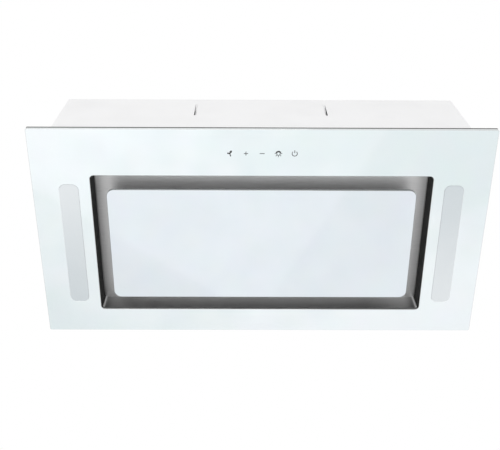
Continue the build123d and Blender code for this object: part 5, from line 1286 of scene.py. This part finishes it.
@dataclass
class Screws(Assembly):
    """Socket screws of the housing and cross-head screws of the small parts."""

    long_shares: tuple[float, ...] = (-0.42, -0.25, 0.25, 0.42)
    short_shares: tuple[float, ...] = (-0.3, 0.0, 0.3)
    scroll_half: tuple[float, float] = (76.0, 64.0)
    light_x: float = 379.0
    light_y: float = 21.5
    light_reach: float = 145.0
    light_seat: float = -5.5
    touch_x: float = 104.75
    touch_y: float = -178.5
    touch_seat: float = -4.5
    collar_ring: float = 83.5
    collar_first: float = 30.0
    collar_seat: float = 258.0
    motor_ring: float = 57.0
    motor_x: float = -49.0
    ring_count: int = 6
    socket: Fixing = Fixing("body_screw", 3.4, 2.2, 1.75, Drive.HEX, 1.6, 1.3, 0.45)
    cross: Fixing = Fixing("small_screw", 2.9, 1.8, 1.5, Drive.CROSS, 1.4, 1.0, 0.5)

    def socket_screws(self) -> None:
        """Screws of the bottom flanges, the top plate and the blower."""
        ends = (-1, 1)
        row_x, row_y = HULL.body_width / 2 - HULL.flange_mid, HULL.body_depth / 2 - HULL.flange_mid
        seats = [(share * HULL.body_width, end * row_y) for share in self.long_shares for end in ends]
        seats += [(end * row_x, share * HULL.body_depth) for share in self.short_shares for end in ends]
        half_x, half_y = self.scroll_half
        scroll = [(a * half_x, HULL.collar_y + b * half_y) for a in ends for b in ends]
        spots = [Spot(x, y, HULL.carrier_top + HULL.sheet) for x, y in seats]
        spots += [Spot(x, y, HULL.body_top) for x, y in seats + scroll]
        settle(self.socket.make("socket_screws", spots), "hood", "zinc_steel", "body_screws")

    def cross_screws(self) -> None:
        """Screws of the lights, touch box, collar and motor plate."""
        spots = [
            Spot(side.value * self.light_x, self.light_y + end * self.light_reach, self.light_seat)
            for side in Side
            for end in (-1, 1)
        ]
        spots += [Spot(side.value * self.touch_x, self.touch_y, self.touch_seat) for side in Side]
        for a, b in ring(self.ring_count, self.collar_ring, self.collar_first):
            spots.append(Spot(a, HULL.collar_y + b, self.collar_seat))
        for a, b in ring(self.ring_count, self.motor_ring):
            spots.append(Spot(self.motor_x, HULL.shaft_y + a, HULL.shaft_z + b, (-1.0, 0.0, 0.0)))
        settle(self.cross.make("cross_screws", spots), "hood", "zinc_steel", "small_screws")

    def build(self) -> None:
        """Makes both kinds."""
        self.socket_screws()
        self.cross_screws()


# ---- Studio, in metres ----
@dataclass(frozen=True)
class SoftBox:
    """A square soft lamp."""

    name: str
    place: Point
    aim: Point
    size: float
    watts: float

    def build(self) -> None:
        """Hangs the lamp."""
        lamp = bpy.data.lights.new(self.name, "AREA")
        lamp.shape = "SQUARE"
        lamp.size = self.size
        lamp.energy = self.watts
        thing = bpy.data.objects.new(self.name, lamp)
        thing.location = self.place
        thing.rotation_euler = (Vector(self.aim) - Vector(self.place)).to_track_quat("-Z", "Y").to_euler()
        bpy.context.scene.collection.objects.link(thing)


@dataclass
class Studio(Assembly):
    """White studio, soft lamps and the camera below the hood."""

    eye: Point = (-0.0323, -0.7353, -1.4346)
    pitch: float = 63.436
    yaw: float = -0.778
    roll: float = 0.535
    focal_px: float = 791.2
    frame_px: float = 500.0
    sensor_mm: float = 36.0
    floor_z: float = -2.4
    floor_half: float = 8.0
    ambient: float = 0.77
    view_depth: float = 50.0
    speck_mm: float = 300.0
    lamps: tuple[SoftBox, ...] = (
        SoftBox("key_lamp", (-0.4, -2.2, -1.5), (0.0, 0.0, 0.05), 1.6, 23.0),
        SoftBox("fill_lamp", (1.5, -0.4, -1.7), (0.0, 0.0, 0.0), 1.6, 4.0),
        SoftBox("low_lamp", (-0.2, 0.3, -2.0), (0.0, 0.0, 0.0), 1.6, 4.5),
        SoftBox("back_lamp", (0.6, 1.2, 1.9), (0.0, 0.0, 0.1), 1.8, 12.0),
    )

    def camera(self) -> None:
        """Sets the camera at the photograph's viewing angle."""
        lens = bpy.data.cameras.new("camera")
        lens.sensor_width = self.sensor_mm
        lens.lens = self.focal_px / self.frame_px * self.sensor_mm
        lens.clip_end = self.view_depth
        turned = (
            Matrix.Rotation(math.radians(self.yaw), 4, "Z")
            @ Matrix.Rotation(math.radians(self.pitch), 4, "X")
            @ Matrix.Rotation(math.radians(self.roll), 4, "Y")
            @ Matrix.Rotation(math.radians(90), 4, "X")
        )
        thing = bpy.data.objects.new("camera", lens)
        thing.matrix_world = Matrix.Translation(self.eye) @ turned
        bpy.context.scene.collection.objects.link(thing)
        bpy.context.scene.camera = thing

    def world(self) -> None:
        """Sets a sky that is white where it is seen or mirrored, and an even soft light elsewhere."""
        world = bpy.data.worlds.new("studio")
        world.use_nodes = True
        bpy.context.scene.world = world
        sheet = NodeSheet(world.node_tree)
        path = sheet.raw("ShaderNodeLightPath", {}, {})
        rays = ("Is Camera Ray", "Is Transmission Ray", "Is Glossy Ray")
        seen, through, mirrored = (Wire(sheet, path.outputs[name]) for name in rays)
        strength = (seen + through + mirrored).ramp(0.0, 1.0, False).between(self.ambient, 1.0)
        glow = sheet.node("ShaderNodeBackground", {}, {"Color": grey(1.0), "Strength": strength})
        sheet.raw("ShaderNodeOutputWorld", {}, {"Surface": glow})

    def floor(self) -> None:
        """Lays a plain pale floor far below the ceiling."""
        half = self.floor_half
        mesh = bpy.data.meshes.new("floor")
        plan = [(-half, -half), (half, -half), (half, half), (-half, half)]
        mesh.from_pydata([(x, y, self.floor_z) for x, y in plan], [], [(0, 1, 2, 3)])
        thing = bpy.data.objects.new("floor", mesh)
        bpy.context.scene.collection.objects.link(thing)
        paint = Paint("floor_paint")
        speck = paint.noise(self.speck_mm)
        tone = paint.blend(grey(0.9), grey(0.86), speck)
        mesh.materials.append(paint.coated({"Base Color": tone, "Roughness": speck.between(0.7, 0.9)}))

    def build(self) -> None:
        """Sets the camera, world, floor and lamps."""
        self.camera()
        self.world()
        self.floor()
        for lamp in self.lamps:
            lamp.build()
        bpy.context.scene.view_settings.view_transform = "Standard"


def main() -> None:
    """Builds the studio and each sub-assembly in order."""
    logging.basicConfig(level=logging.INFO, format="%(name)s: %(message)s")
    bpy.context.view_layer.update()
    assemblies: tuple[Assembly, ...] = (
        Studio(),
        Fascia(),
        Lights(),
        CentrePanel(),
        Trough(),
        GreaseFilters(),
        Body(),
        Blower(),
        DuctCollar(),
        Electrics(),
        Screws(),
    )
    for assembly in assemblies:
        assembly.build()
        LOG.info("%s is done", type(assembly).__name__)


if __name__ == "__main__":
    main()
